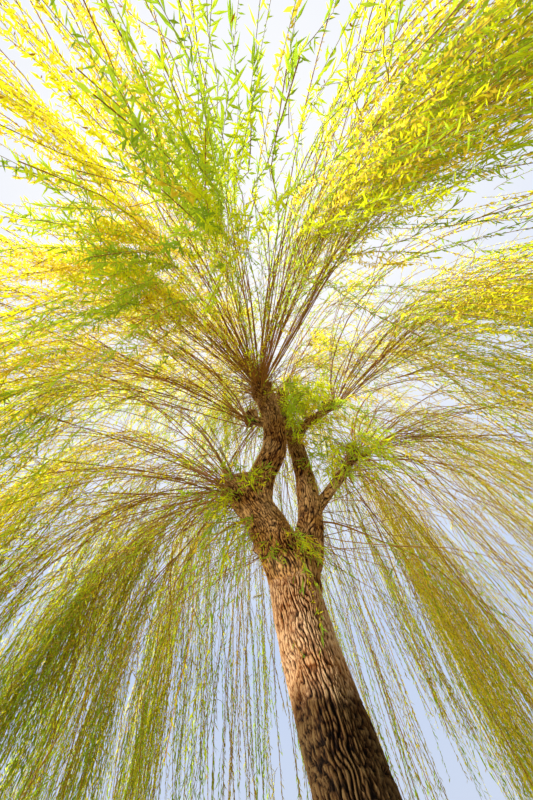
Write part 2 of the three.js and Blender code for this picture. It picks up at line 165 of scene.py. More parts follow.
@dataclass(frozen=True)
class BarkFinish:
    """Old willow bark: thick corky ridges that interlace over dark furrows, dark partly in their
    own colour and partly with painted shade.

    The eye sees matt streaks along the limb, pale where the ridges are worn, and darker and
    greyer on the trunk's foot, where a shadow is painted. Lengths in metres are the real sizes of
    fibres, grain and patches.
    """

    name: str
    furrow: str = "#240f04"
    flank: str = "#80481e"
    ridge: str = "#c0905f"
    worn: str = "#e6c296"
    # Colour multiplied into the bark under the painted shadow on the trunk's foot.
    foot_shadow: str = "#7f7a66"
    stops: tuple[float, float, float] = (0.1, 0.45, 0.95)
    fibre: float = 0.011
    fibre_shade: Range = (-0.34, 0.3)
    patch: float = 0.31
    worn_between: Range = (0.42, 0.66)
    worn_most: float = 0.7
    # Height, edge and raggedness of the line of the painted shadow over the trunk's foot.
    shadow_line: float = 2.2
    shadow_edge: Range = (0.3, 0.12)
    shadow_wander: float = 0.5
    grain: float = 0.004
    grain_share: float = 0.25
    bump: float = 0.008
    roughness: float = 0.93
    shine: float = 0.12

    def material(self) -> Material:
        """Make the material from the relief and the fibre direction stored on the mesh.

        Returns:
            Matt bark, dark in its furrows with partly painted shade, streaked along the limb, pale
            where worn and darkened under a painted shadow at the trunk's foot.
        """
        made, tree = empty_material(self.name)
        place = add_node(tree, "ShaderNodeTexCoord").outputs["Object"]
        along = add_node(tree, "ShaderNodeAttribute", attribute_name="fibre")
        # Fibres run along the limb: their pattern is stored drawn out in that direction.
        fibres = add_node(tree, "ShaderNodeTexNoise", {
            "Vector": along.outputs["Vector"], "Scale": 1 / self.fibre, "Detail": 4.0,
            "Roughness": 0.7, "Distortion": 0.6})
        shade = self.shade(tree, fibres.outputs["Fac"])
        patches = add_node(tree, "ShaderNodeTexNoise", {
            "Vector": place, "Scale": 1 / self.patch, "Detail": 5.0, "Roughness": 0.6})
        colour = self.worn_colour(tree, shade, patches.outputs["Fac"])
        # Paint the shadow that darkens the trunk's foot.
        colour = self.shadowed_colour(tree, place, colour, patches.outputs["Fac"])
        grain = add_node(tree, "ShaderNodeTexNoise", {
            "Vector": place, "Scale": 1 / self.grain, "Detail": 2.0, "Roughness": 0.6})
        both = add_node(tree, "ShaderNodeMath", {
            0: grain.outputs["Fac"], 1: self.grain_share, 2: fibres.outputs["Fac"]},
            operation="MULTIPLY_ADD")
        bump = add_node(tree, "ShaderNodeBump", {
            "Strength": 0.8, "Distance": self.bump, "Height": both.outputs[0]})
        shader = add_node(tree, "ShaderNodeBsdfPrincipled", {
            "Base Color": colour, "Roughness": self.roughness,
            "Specular IOR Level": self.shine, "Normal": bump.outputs[0]})
        add_node(tree, "ShaderNodeOutputMaterial", {"Surface": shader.outputs[0]})
        return made

    def shade(self, tree: NodeTree, fibres: Socket) -> Socket:
        """Lay the fibres' streaks over the relief stored on the mesh.

        Args:
            tree: The material's nodes.
            fibres: The fibres' pattern.

        Returns:
            The shade, from furrow 0 to ridge 1.
        """
        relief = add_node(tree, "ShaderNodeAttribute", attribute_name="relief")
        raised = add_node(tree, "ShaderNodeMapRange", {
            0: fibres, 1: 0.3, 2: 0.7, 3: self.fibre_shade[0], 4: self.fibre_shade[1]})
        return add_node(tree, "ShaderNodeMath", {
            0: relief.outputs["Fac"], 1: raised.outputs[0]}, operation="ADD").outputs[0]

    def worn_colour(self, tree: NodeTree, shade: Socket, patches: Socket) -> Socket:
        """Colour the relief, its furrows dark partly with painted shade, with its ridges worn pale
        in patches.

        Args:
            tree: The material's nodes.
            shade: The shade, from furrow to ridge.
            patches: The broad pattern of patches.

        Returns:
            The colour.
        """
        ridges = add_node(tree, "ShaderNodeValToRGB", {0: shade})
        ridges.color_ramp.elements.new(self.stops[1])
        for stop, position, colour in zip(ridges.color_ramp.elements, self.stops,
                                          (self.furrow, self.flank, self.ridge)):
            stop.position, stop.color = position, hex_colour(colour)
        worn_share = add_node(tree, "ShaderNodeMapRange", {
            0: patches, 1: self.worn_between[0], 2: self.worn_between[1], 4: self.worn_most})
        on_ridges = add_node(tree, "ShaderNodeMath", {
            0: worn_share.outputs[0], 1: shade}, operation="MULTIPLY", use_clamp=True)
        return add_node(tree, "ShaderNodeMix", {
            0: on_ridges.outputs[0], 6: ridges.outputs["Color"], 7: hex_colour(self.worn)},
            data_type="RGBA").outputs[2]

    def shadowed_colour(self, tree: NodeTree, place: Socket, colour: Socket,
                    patches: Socket) -> Socket:
        """Paint a shadow that darkens the bark below a ragged line.

        Args:
            tree: The material's nodes.
            place: The place on the tree.
            colour: The bark's colour outside the painted shadow.
            patches: The broad pattern that makes the line ragged.

        Returns:
            The colour.
        """
        height = add_node(tree, "ShaderNodeSeparateXYZ", {0: place})
        edge = add_node(tree, "ShaderNodeMath", {
            0: patches, 1: self.shadow_wander, 2: height.outputs["Z"]}, operation="MULTIPLY_ADD")
        # Above the first height the bark is unshaded; below the second the painted shadow is full.
        unshaded_from, full = (self.shadow_line + above for above in self.shadow_edge)
        share = add_node(tree, "ShaderNodeMapRange", {0: edge.outputs[0], 1: unshaded_from, 2: full})
        return add_node(tree, "ShaderNodeMix", {
            0: share.outputs[0], 6: colour, 7: hex_colour(self.foot_shadow)},
            data_type="RGBA", blend_type="MULTIPLY").outputs[2]


@dataclass(frozen=True)
class TwigFinish:
    """Young willow rind: smooth and waxy, with paler and darker stretches of some 7 cm."""

    name: str
    colour: str
    shade: str
    stretch: float = 0.07
    stretch_share: float = 0.8
    clear_between: Range = (0.4, 1.3)
    roughness: float = 0.7
    shine: float = 0.25

    def material(self) -> Material:
        """Make the rind from its pattern of stretches and the tone stored on each twig.

        Returns:
            A satin material, clear where the twig's tone is high and shaded where it is low.
        """
        made, tree = empty_material(self.name)
        place = add_node(tree, "ShaderNodeTexCoord")
        stretches = add_node(tree, "ShaderNodeTexNoise", {
            "Vector": place.outputs["Object"], "Scale": 1 / self.stretch, "Detail": 3.0})
        tone = add_node(tree, "ShaderNodeAttribute", attribute_name="tone")
        share = add_node(tree, "ShaderNodeMath", {
            0: stretches.outputs["Fac"], 1: self.stretch_share, 2: tone.outputs["Fac"]},
            operation="MULTIPLY_ADD")
        clear = add_node(tree, "ShaderNodeMapRange", {
            0: share.outputs[0], 1: self.clear_between[0], 2: self.clear_between[1]})
        mixed = add_node(tree, "ShaderNodeMix", {
            0: clear.outputs[0], 6: hex_colour(self.shade), 7: hex_colour(self.colour)},
            data_type="RGBA")
        shader = add_node(tree, "ShaderNodeBsdfPrincipled", {
            "Base Color": mixed.outputs[2], "Roughness": self.roughness,
            "Specular IOR Level": self.shine})
        add_node(tree, "ShaderNodeOutputMaterial", {"Surface": shader.outputs[0]})
        return made


@dataclass(frozen=True)
class LeafFinish:
    """A thin spring leaf: a satin face that lets much of the light through."""

    name: str
    colour: str
    glow: str
    through: float = 0.64
    roughness: float = 0.6
    shine: float = 0.2

    def material(self) -> Material:
        """Make the leaf from a satin face and light that passes through it.

        Returns:
            One plain colour on its face and a warmer one against the light.
        """
        made, tree = empty_material(self.name)
        face = add_node(tree, "ShaderNodeBsdfPrincipled", {
            "Base Color": hex_colour(self.colour), "Roughness": self.roughness,
            "Specular IOR Level": self.shine})
        passed = add_node(tree, "ShaderNodeBsdfTranslucent", {
            "Color": hex_colour(self.glow)})
        both = add_node(tree, "ShaderNodeMixShader", {
            0: self.through, 1: face.outputs[0], 2: passed.outputs[0]})
        add_node(tree, "ShaderNodeOutputMaterial", {"Surface": both.outputs[0]})
        return made


@dataclass(frozen=True)
class FloorFinish:
    """A plain studio floor, matt and mid grey, so that it takes no eye from the tree."""

    name: str = "pale_floor"
    colour: str = "#7c7c78"
    roughness: float = 0.9

    def material(self) -> Material:
        """Make the floor's plain matt surface.

        Returns:
            The material.
        """
        made = bpy.data.materials.new(self.name)
        made.use_nodes = True
        shader = made.node_tree.nodes["Principled BSDF"]
        shader.inputs["Base Color"].default_value = hex_colour(self.colour)
        shader.inputs["Roughness"].default_value = self.roughness
        return made


class Tint(Enum):
    """The sprays' tints, each a plain finish dealt out by spray."""

    LIME = LeafFinish("lime_leaf", "#c0cc14", "#f0f820")
    GOLD = LeafFinish("golden_leaf", "#e0ce14", "#fdf626")
    STRAW = LeafFinish("straw_leaf", "#dcb424", "#fae040")
    FRESH = LeafFinish("fresh_leaf", "#9ab422", "#cee434")
    DEEP = LeafFinish("deep_leaf", "#728e20", "#a6c22a")
    # A darker olive copy of the straw and lime leaves, dealt where shade is painted.
    OLIVE = LeafFinish("olive_leaf", "#8c7c20", "#bcaa30")

    @property
    def is_golden(self) -> bool:
        """Tell whether its leaves are young ones that have only half unfolded."""
        return self in (Tint.GOLD, Tint.STRAW)


# The crown's rule, as in the solids, in metres


@dataclass(frozen=True)
class CrownRule:
    """Sizes that every shoot and strand follows."""

    axis: tuple[float, float] = (0.0, -0.42)
    radius: float = 4.45
    open_radius: float = 2.35
    open_height: float = 3.2
    hang_slope: float = 1.35
    hang_lowest: float = 0.95
    hang_spread: float = 0.75
    top_floor: float = 5.7
    shoot_lean: float = 0.12
    shoot_lift: float = 0.9
    shoot_reach: float = 0.96
    shoot_crown: float = 1.3
    top_apex_share: float = 0.83
    side_apex_share: float = 0.68
    strand_lean: float = 0.55
    strand_lift: float = 0.1
    strand_shoulder: float = 0.15
    strands_from: float = 0.3
    strands_to: float = 0.88
    strand_crowding: float = 0.65
    foot_spread: tuple[float, float] = (0.25, 0.6)
    foot_turn: tuple[float, float] = (0.3, 0.55)
    spray_length: float = 0.78
    tip_spray_share: float = 0.8
    side_apex: float = 5.85
    side_apex_rise: float = 0.7
    lowest_head: float = 3.97
    top_strand: Range = (0.8, 0.6)
    low_strand: Range = (0.3, 0.4)
    side_foot: float = 0.95
    side_foot_step: float = 0.35
    strand_room: float = 0.06

    def centre(self) -> Array:
        """Give the crown's axis as a point on the ground."""
        return np.array([*self.axis, 0.0])

    def hang_height(self, distance: float, chance: float) -> float:
        """Give how low a strand hangs at a distance from the axis.

        Args:
            distance: Level distance from the crown's axis.
            chance: A random share of the spread.

        Returns:
            Height of the strand's foot.
        """
        lowest = self.open_height - self.hang_slope * (distance - self.open_radius)
        return max(self.hang_lowest, lowest) + self.hang_spread * chance

    def shoot(self, root: Array, foot: Array, rise: float) -> Array:
        """Give the four handles of a shoot that arches over and hangs to its foot.

        Args:
            root: Where it leaves its head.
            foot: Where its tip hangs.
            rise: How far its handles stand up.

        Returns:
            The handles, one a row.
        """
        out = (foot - root) * LEVEL
        high = root + out * self.shoot_reach
        high[2] = root[2] + self.shoot_crown * rise
        return np.array([root, root + out * self.shoot_lean + UP * self.shoot_lift * rise,
                         high, foot])

    def strand(self, start: Array, foot: Array) -> Array:
        """Give the four handles of a strand that leaves a shoot and hangs to its foot.

        Args:
            start: Where it leaves the shoot.
            foot: Where its tip hangs.

        Returns:
            The handles, one a row.
        """
        out = (foot - start) * LEVEL
        shoulder = foot.copy()
        shoulder[2] = start[2] - self.strand_shoulder * (start[2] - foot[2])
        lift = UP * self.strand_lift * np.linalg.norm(out)
        return np.array([start, start + out * self.strand_lean + lift, shoulder, foot])


RULE = CrownRule()


def kept_below(handles: Array, height: float) -> Array:
    """Lower a curve's middle handles where it would rise above a height.

    Args:
        handles: Its four handles, changed in place.
        height: The height that it stays below.

    Returns:
        The handles.
    """
    room, tries, samples, overdone = 0.1, 3, 20, 1.5
    height = max(height, handles[0, 2] + room, handles[3, 2] + room)
    for _ in range(tries):
        over = along_bezier(handles, np.linspace(0, 1, samples))[:, 2].max() - height
        handles[1:3, 2] -= max(0.0, over) * overdone
    return handles


def along_bezier(handles: Array, places: Array) -> Array:
    """Give points on a cubic curve.

    Args:
        handles: Its four handles.
        places: Shares of its length, from 0 to 1.

    Returns:
        One point a row.
    """
    t = np.asarray(places)[:, None]
    s = 1 - t
    return (s ** 3 * handles[0] + 3 * s * s * t * handles[1]
            + 3 * s * t * t * handles[2] + t ** 3 * handles[3])


# Trunk and limbs


@dataclass
class Limb:
    """One limb's centre line and radii, repeated from the solids in metres."""

    name: str
    line: Sequence[tuple[float, float, float]]
    base: float
    tip: float
    head: float = 1.0
    knots: int = 0

    head_from = 0.72
    head_to = 0.95
    round_from = 0.9
    round_left = 0.35
    unevenness = 0.06
    uneven_twist = 9
    uneven_drift = 5
    sideways = (0.3, 1.0, 0.0)

    def point(self, t: float) -> Array:
        """Give a point on the centre line, a centripetal Catmull-Rom curve.

        Args:
            t: Share along the line, from 0 to 1.

        Returns:
            The point.
        """
        points = [np.array(p) for p in self.line]
        place = (len(points) - 1) * t
        index = min(int(place), len(points) - 2)
        weight = place - index
        before = points[index - 1] if index > 0 else 2 * points[0] - points[1]
        after = (points[index + 2] if index + 2 < len(points)
                 else 2 * points[-1] - points[-2])
        start, end = points[index], points[index + 1]
        gaps = [max(float(np.linalg.norm(b - a)) ** 0.5, 1e-4)
                for a, b in ((before, start), (start, end), (end, after))]
        leave = ((start - before) / gaps[0] - (end - before) / (gaps[0] + gaps[1])
                 + (end - start) / gaps[1]) * gaps[1]
        reach = ((end - start) / gaps[1] - (after - start) / (gaps[1] + gaps[2])
                 + (after - end) / gaps[2]) * gaps[1]
        third = 2 * start - 2 * end + leave + reach
        second = -3 * start + 3 * end - 2 * leave - reach
        return start + leave * weight + second * weight ** 2 + third * weight ** 3

    def radius(self, t: float, angle: Array) -> Array:
        """Give the limb's radius round one section, without its bark's relief.

        Args:
            t: Share along the limb.
            angle: Angles round the section.

        Returns:
            A radius for each angle.
        """
        taper = self.base + (self.tip - self.base) * t
        swelling = 1 + (self.head - 1) * float(
            smoothstep(np.array(t), self.head_from, self.head_to))
        rounding = max(0.0, (t - self.round_from) / (1 - self.round_from))
        end = 1 - (1 - self.round_left) * rounding * rounding
        twisted = np.sin(2 * angle + self.uneven_twist * t)
        waves = 1 + self.unevenness * twisted * np.cos(self.uneven_drift * t + angle)
        return taper * swelling * end * waves

    def on_bark(self, t: float, out: Array, share: float) -> tuple[Array, Array]:
        """Give a point just under the bark, on the side that faces a level direction.

        Args:
            t: Share along the limb.
            out: The level direction.
            share: Share of the limb's radius that the point is off its middle.

        Returns:
            The point, and the direction square off the bark there.
        """
        across, outward = self.frame_at(t)
        side = unit(across * float(out @ across) + outward * float(out @ outward) + 1e-6)
        angle = math.atan2(float(side @ across), float(side @ outward))
        radius = float(self.radius(t, np.array(angle)))
        return self.point(t) + side * radius * share, side

    def frame_at(self, t: float) -> tuple[Array, Array]:
        """Give the section's two cross directions.

        Args:
            t: Share along the limb.

        Returns:
            The direction across and the one outward.
        """
        step = 1e-3
        ahead = unit(self.point(min(t + step, 1)) - self.point(max(t - step, 0)))
        sideways = unit(np.array(self.sideways))
        across = unit(sideways - ahead * float(sideways @ ahead))
        return across, np.cross(across, ahead)


@dataclass
class Trunk(Limb):
    """The trunk: level sections from the flat cut at the ground up into the fork."""

    taper = 0.0125
    flare_radius = 0.092
    flare_rise = 0.33
    flare_lobes = 5
    flare_turn = 0.6
    flare_depth = 0.42
    wave = 0.007
    wave_heights = (0.7, 0.5)

    def radius(self, t: float, angle: Array) -> Array:
        """Give the trunk's radius round one level section, with its taper and lobed flare.

        Args:
            t: Share along the trunk.
            angle: Angles round the section.

        Returns:
            A radius for each angle.
        """
        height = float(self.point(t)[2])
        lobes = 1 + self.flare_depth * np.cos(self.flare_lobes * angle + self.flare_turn)
        flare = self.flare_radius * math.exp(-height / self.flare_rise) * lobes
        waves = (np.sin(2 * angle + height / self.wave_heights[0])
                 + np.sin(3 * angle - height / self.wave_heights[1]))
        return self.base - self.taper * height + flare + self.wave * waves

    def frame_at(self, t: float) -> tuple[Array, Array]:
        """Give level cross directions, so that the foot is cut flat."""
        return np.array([1.0, 0.0, 0.0]), np.array([0.0, -1.0, 0.0])


@dataclass(frozen=True)
class Relief:
    """The furrowed pattern of willow bark: long ridges that weave, part and join again."""

    width: float = 0.021
    length: float = 0.18
    depth: float = 0.008
    weave: float = 2.7
    weave_ridges: float = 2.4
    ridge_between: Range = (0.05, 0.75)
    crack_width: float = 0.016
    crack_length: float = 0.06
    crack_depth: float = 0.008
    crack_between: Range = (0.0, 0.24)
    crack_dark: float = 0.3
    crack_pale: float = 0.7
    lean: float = 1.6
    lean_share: float = 0.6
    lean_waves: int = 9
    lean_length: float = 0.3
    lump: float = 0.012
    lump_waves: int = 5
    lump_length: float = 0.24
    sunk_share: float = 0.6
    fibre_stretch: float = 0.16
    foot_height: float = 2.2
    foot_fade: float = 0.3
    foot_depth: float = 0.0
    foot_shade: float = 1.6
    seed: int = 5

    # Large uneven numbers that scatter the waves' directions.
    scatter = (127.1, 311.7, 17.3, 43758.5)

    def waves(self, u: Array, v: Array, around: int, seed: int) -> Array:
        """Give smooth seeded waves that close round the limb.

        Args:
            u: Place round the limb, in waves.
            v: Place along it, in waves.
            around: Number of waves round the limb.
            seed: Picks the waves.

        Returns:
            Values about 0, at most about 0.7 either way.
        """
        by_column, by_row, by_seed, widely = self.scatter
        column, row = np.floor(u), np.floor(v)
        across, along = u - column, v - row
        total = np.zeros(u.shape)
        for step_u in (0, 1):
            for step_v in (0, 1):
                wrapped = np.mod(column + step_u, around)
                mixed = np.sin(wrapped * by_column + (row + step_v) * by_row
                               + seed * by_seed) * widely
                lean = (mixed - np.floor(mixed)) * TURN
                du, dv = across - step_u, along - step_v
                weight = smoothstep(1 - abs(du), 0, 1) * smoothstep(1 - abs(dv), 0, 1)
                total += weight * (np.cos(lean) * du + np.sin(lean) * dv)
        return total

    def heights(self, angle: Array, distance: Array, girth: float) -> tuple[Array, Array]:
        """Give the relief over a limb's surface, with its furrows bent by seeded waves.

        Args:
            angle: Angle of each point round the limb.
            distance: Distance of each point along it.
            girth: The limb's girth.

        Returns:
            How far each point stands out, and its shade from furrow 0 to ridge 1: the bark's own
            darker furrows and cracks, with painted shade in them.
        """
        around = max(6, round(girth / self.width))
        fine = max(12, round(girth / self.crack_width))
        wide = max(4, round(around / self.weave_ridges))
        turn = angle / TURN
        lean = self.lean * self.waves(turn * self.lean_waves, distance / self.lean_length,
                                      self.lean_waves, self.seed + 2)
        bend = self.waves(turn * wide + lean / 3, distance / self.length, wide, self.seed)
        long = np.sin(math.pi * (turn * around + lean * self.lean_share + self.weave * bend))
        short = self.waves(turn * fine + 2 * lean, distance / self.crack_length, fine,
                           self.seed + 9)
        ridge = smoothstep(np.abs(long), *self.ridge_between)
        crack = smoothstep(np.abs(short), *self.crack_between)
        lumps = self.waves(turn * self.lump_waves, distance / self.lump_length,
                           self.lump_waves, self.seed + 5)
        height = (self.depth * (ridge - self.sunk_share)
                  + self.crack_depth * ridge * (crack - self.sunk_share))
        # Furrows and cracks are darkened: partly the bark's own colour, partly painted shade.
        shade = np.clip(ridge * (self.crack_dark + self.crack_pale * crack), 0, 1)
        low = 1 - smoothstep(distance, self.foot_height - self.foot_fade, self.foot_height)
        height *= 1 + self.foot_depth * low
        # Painted shade: the furrows at the trunk's foot are darker still.
        shade **= 1 + self.foot_shade * self.foot_depth * low
        return height + self.lump * lumps, shade


@dataclass
class BarkMesh:
    """A limb's bark: a closed skin with real ridges, swollen at heads and collars."""

    limb: Limb
    relief: Relief
    around: int
    rows: int
    tail: tuple[float, float, float] | None = None
    tail_rows: int = 40
    tail_width: float = 0.72
    tail_rise: float = 0.2
    tail_run: float = 0.18
    collar: float = 0.12
    collar_rise: float = 0.12
    full_relief_radius: float = 0.12
    least_relief: float = 0.35
    knots_at_head: Range = (0.82, 0.97)
    knots_below: Range = (0.25, 0.8)
    knot_sizes: Range = (0.022, 0.045)
    knot_height: float = 0.7

    def build(self, finish: Material) -> Object:
        """Make the skin and dress it.

        Args:
            finish: Its bark.

        Returns:
            The finished piece.
        """
        shares = np.linspace(0.0, 1.0, self.rows)
        centres = np.array([self.limb.point(t) for t in shares])
        frames = [self.limb.frame_at(float(t)) for t in shares]
        angle = np.linspace(0, TURN, self.around, endpoint=False)
        plain = np.array([self.limb.radius(t, angle) for t in shares])
        if self.tail is not None:
            centres, frames, plain = self.rooted(centres, frames, plain)
        steps = np.linalg.norm(np.diff(centres, axis=0), axis=1)
        distance = np.concatenate([[0.0], np.cumsum(steps)])
        girth = TURN * float(np.mean(self.limb.radius(0.5, angle)))
        grid_angle, grid_distance = np.meshgrid(angle, distance)
        height, shade = self.relief.heights(grid_angle, grid_distance, girth)
        thin = np.clip(plain / self.full_relief_radius, self.least_relief, 1.0)
        starts = distance[len(centres) - self.rows]
        swell = 1 + self.collar * np.exp(-abs(grid_distance - starts) / self.collar_rise)
        knots = self.knots(grid_angle, grid_distance, distance[-1])
        radius = plain * swell + height * thin + knots
        points = np.empty((*plain.shape, 3))
        for row, (across, outward) in enumerate(frames):
            ring = (np.sin(angle)[:, None] * across + np.cos(angle)[:, None] * outward)
            points[row] = centres[row] + ring * radius[row][:, None]
        mean_radius = girth / TURN
        fibre = np.stack([np.sin(grid_angle) * mean_radius, np.cos(grid_angle) * mean_radius,
                          grid_distance * self.relief.fibre_stretch], axis=-1)
        return self.piece(points, centres, shade, fibre, finish)

    def rooted(self, centres: Array, frames: list[tuple[Array, Array]],
               plain: Array) -> tuple[Array, list[tuple[Array, Array]], Array]:
        """Carry a limb's foot down inside the trunk, so that it grows out of it gently.

        Args:
            centres: The sections' middles.
            frames: The sections' cross directions.
            plain: The sections' radii.

        Returns:
            The same three, with the sections inside the trunk before them.
        """
        ahead = unit(centres[1] - centres[0])
        handles = np.array([self.tail, np.array(self.tail) + UP * self.tail_rise,
                            centres[0] - ahead * self.tail_run, centres[0]])
        places = np.linspace(0, 1, self.tail_rows, endpoint=False)
        inside = along_bezier(handles, places)
        turns = []
        for here, there in zip(inside, [*inside[1:], centres[0]]):
            along = unit(there - here)
            outward = frames[0][1] - along * float(frames[0][1] @ along)
            turns.append((np.cross(along, unit(outward)), unit(outward)))
        widths = self.tail_width + (1 - self.tail_width) * smoothstep(places, 0.0, 1.0)
        return (np.vstack([inside, centres]), turns + frames,
                np.vstack([plain[:1] * widths[:, None], plain]))

    def knots(self, angle: Array, distance: Array, length: float) -> Array:
        """Give the knobs of cut shoots, crowded round the limb's head.

        Args:
            angle: Angle of each point.
            distance: Distance of each point along the limb.
            length: The limb's whole length.

        Returns:
            How far the knobs stand out at each point.
        """
        chance = np.random.default_rng(len(self.limb.name) * 7 + self.rows)
        bumps = np.zeros(angle.shape)
        for number in range(self.limb.knots):
            is_below = number % 4 == 0
            place = length * chance.uniform(*(self.knots_below if is_below
                                              else self.knots_at_head))
            side = chance.uniform(0, TURN)
            size = chance.uniform(*self.knot_sizes)
            turn = np.angle(np.exp(1j * (angle - side))) * self.limb.tip
            gap = np.hypot(turn, distance - place)
            bumps += size * self.knot_height * np.exp(-(gap / size) ** 2)
        return bumps

    def piece(self, points: Array, centres: Array, shade: Array, fibre: Array,
              finish: Material) -> Object:
        """Close the rings into a mesh with its relief stored on it.

        Args:
            points: Rings of points, from the foot up.
            centres: The rings' middles.
            shade: Relief shade of each point, partly painted shade in the furrows.
            fibre: Each point's place in the pattern of fibres.
            finish: Its bark.

        Returns:
            The finished piece.
        """
        rows, around = points.shape[:2]
        vertices = np.vstack([points.reshape(-1, 3), centres[:1], centres[-1:]])
        index = np.arange(rows * around).reshape(rows, around)
        right = np.roll(index, -1, axis=1)
        sides = np.stack([index[:-1], index[1:], right[1:], right[:-1]], axis=-1).reshape(-1, 4)
        foot, top = rows * around, rows * around + 1
        faces = [tuple(f) for f in sides.tolist()]
        faces += [(foot, int(a), int(b)) for a, b in zip(index[0], right[0])]
        faces += [(top, int(b), int(a)) for a, b in zip(index[-1], right[-1])]
        name = f"{self.limb.name}_bark"
        mesh = bpy.data.meshes.new(name)
        mesh.from_pydata(vertices.tolist(), [], faces)
        # The relief attribute carries the furrow-to-ridge shade, partly painted shade.
        relief = mesh.attributes.new("relief", "FLOAT", "POINT")
        relief.data.foreach_set("value", np.append(shade.ravel(), [0.4, 0.4]).astype(np.float32))
        drawn_out = np.vstack([fibre.reshape(-1, 3), np.zeros((2, 3))]).astype(np.float32)
        fibres = mesh.attributes.new("fibre", "FLOAT_VECTOR", "POINT")
        fibres.data.foreach_set("vector", drawn_out.ravel())
        mesh.polygons.foreach_set("use_smooth", np.ones(len(faces), dtype=bool))
        mesh.materials.append(finish)
        mesh.update()
        return add_object(name, mesh)


# The radius at its foot from which a limb's bark is made as that of a thick one.
THICK_LIMB = 0.1


class BarkGrade(Enum):
    """Relief, points round and rows of a limb's bark, by how thick the limb is."""

    # The trunk's foot_depth deepens its foot's furrows and, as painted shade, darkens them.
    TRUNK = (Relief(width=0.027, length=0.15, depth=0.016, foot_depth=0.9), 300, 300)
    THICK = (Relief(depth=0.013), 180, 200)
    THIN = (Relief(), 90, 120)

    @classmethod
    def of(cls, limb: Limb) -> "BarkGrade":
        """Pick the grade for a limb by its kind and its radius."""
        grade = cls.THICK if limb.base > THICK_LIMB else cls.THIN
        return cls.TRUNK if isinstance(limb, Trunk) else grade


# The limbs whose bark isn't plain at the foot: a foot that runs down inside the trunk to the
# given point, and a collar of the given swelling and height.
FEET = {"trunk": {"collar": 0.0},
        "left_limb": {"tail": (-0.29, -0.02, 2.6)},
        "right_limb": {"tail": (-0.235, -0.02, 2.6), "collar": 0.3, "collar_rise": 0.4}}


def wood() -> list[Limb]:
    """List the trunk and limbs as the solids have them.

    Returns:
        The trunk, then the limbs.
    """
    return [
        Trunk("trunk", [(0, 0, 0), (-0.06, 0, 0.6), (-0.2, -0.015, 1.75), (-0.282, -0.02, 2.5),
                        (-0.298, -0.025, 2.95), (-0.29, -0.03, 3.33)], base=0.236, tip=0.236),
        Limb("left_limb", [(-0.3, -0.04, 3.06), (-0.415, -0.16, 3.44), (-0.55, -0.345, 3.7),
                           (-0.68, -0.515, 3.985)], base=0.205, tip=0.158, head=1.12, knots=22),
        Limb("right_limb", [(-0.17, -0.025, 3.18), (-0.01, -0.07, 3.58), (0.048, -0.165, 4.03),
                            (0.066, -0.31, 4.62), (0.062, -0.45, 5.4), (0.098, -0.52, 5.9)],
             base=0.126, tip=0.066, head=1.35, knots=16),
        Limb("middle_stem", [(-0.52, -0.33, 3.69), (-0.385, -0.51, 3.92), (-0.222, -0.65, 4.09),
                             (-0.15, -0.76, 4.42), (-0.158, -0.83, 4.9), (-0.228, -0.87, 5.44)],
             base=0.142, tip=0.098, head=1.3, knots=24),
        Limb("left_knob", [(-0.17, -0.775, 4.48), (-0.3, -0.805, 4.51), (-0.425, -0.825, 4.62)],
             base=0.056, tip=0.046, head=1.45, knots=10),
        Limb("right_arm", [(0, -0.08, 3.61), (0.23, -0.075, 3.86), (0.555, -0.09, 4.18),
                           (0.84, 0.02, 4.67)], base=0.066, tip=0.046, head=1.5, knots=12),
        Limb("upper_right_arm", [(0.05, -0.29, 4.56), (0.225, -0.36, 4.87), (0.48, -0.41, 5.0),
                                 (0.745, -0.425, 5.21)],
             base=0.064, tip=0.05, head=1.45, knots=12)]


# Foliage


@dataclass
class Bundle:
    """Paths of one kind, gathered for one piece: twigs, or leafy stretches of one tint."""

    points: list[Array] = field(default_factory=list)
    thickness: list[Array] = field(default_factory=list)
    tone: list[Array] = field(default_factory=list)

    def add(self, path: Array, thick: Array, tone: float = 0.5) -> None:
        """Add a path with its radius, or its leaf size, at each point, and its tone."""
        self.points.append(path)
        self.thickness.append(thick)
        self.tone.append(np.full(len(path), tone))

    def skeleton(self, name: str) -> Object:
        """Make one mesh of edges from all the paths.

        Args:
            name: The object's name.

        Returns:
            An object of edges with a thickness at each point.
        """
        counts = np.array([len(p) for p in self.points])
        vertices = np.vstack(self.points).astype(np.float32)
        keep = np.ones(len(vertices), dtype=bool)
        keep[np.cumsum(counts) - 1] = False
        start = np.nonzero(keep)[0]
        edges = np.stack([start, start + 1], axis=1).astype(np.int32)
        mesh = bpy.data.meshes.new(name)
        mesh.vertices.add(len(vertices))
        mesh.vertices.foreach_set("co", vertices.ravel())
        mesh.edges.add(len(edges))
        mesh.edges.foreach_set("vertices", edges.ravel())
        for label, parts in (("thickness", self.thickness), ("tone", self.tone)):
            values = mesh.attributes.new(label, "FLOAT", "POINT")
            values.data.foreach_set("value", np.concatenate(parts).astype(np.float32))
        mesh.update()
        return add_object(name, mesh)


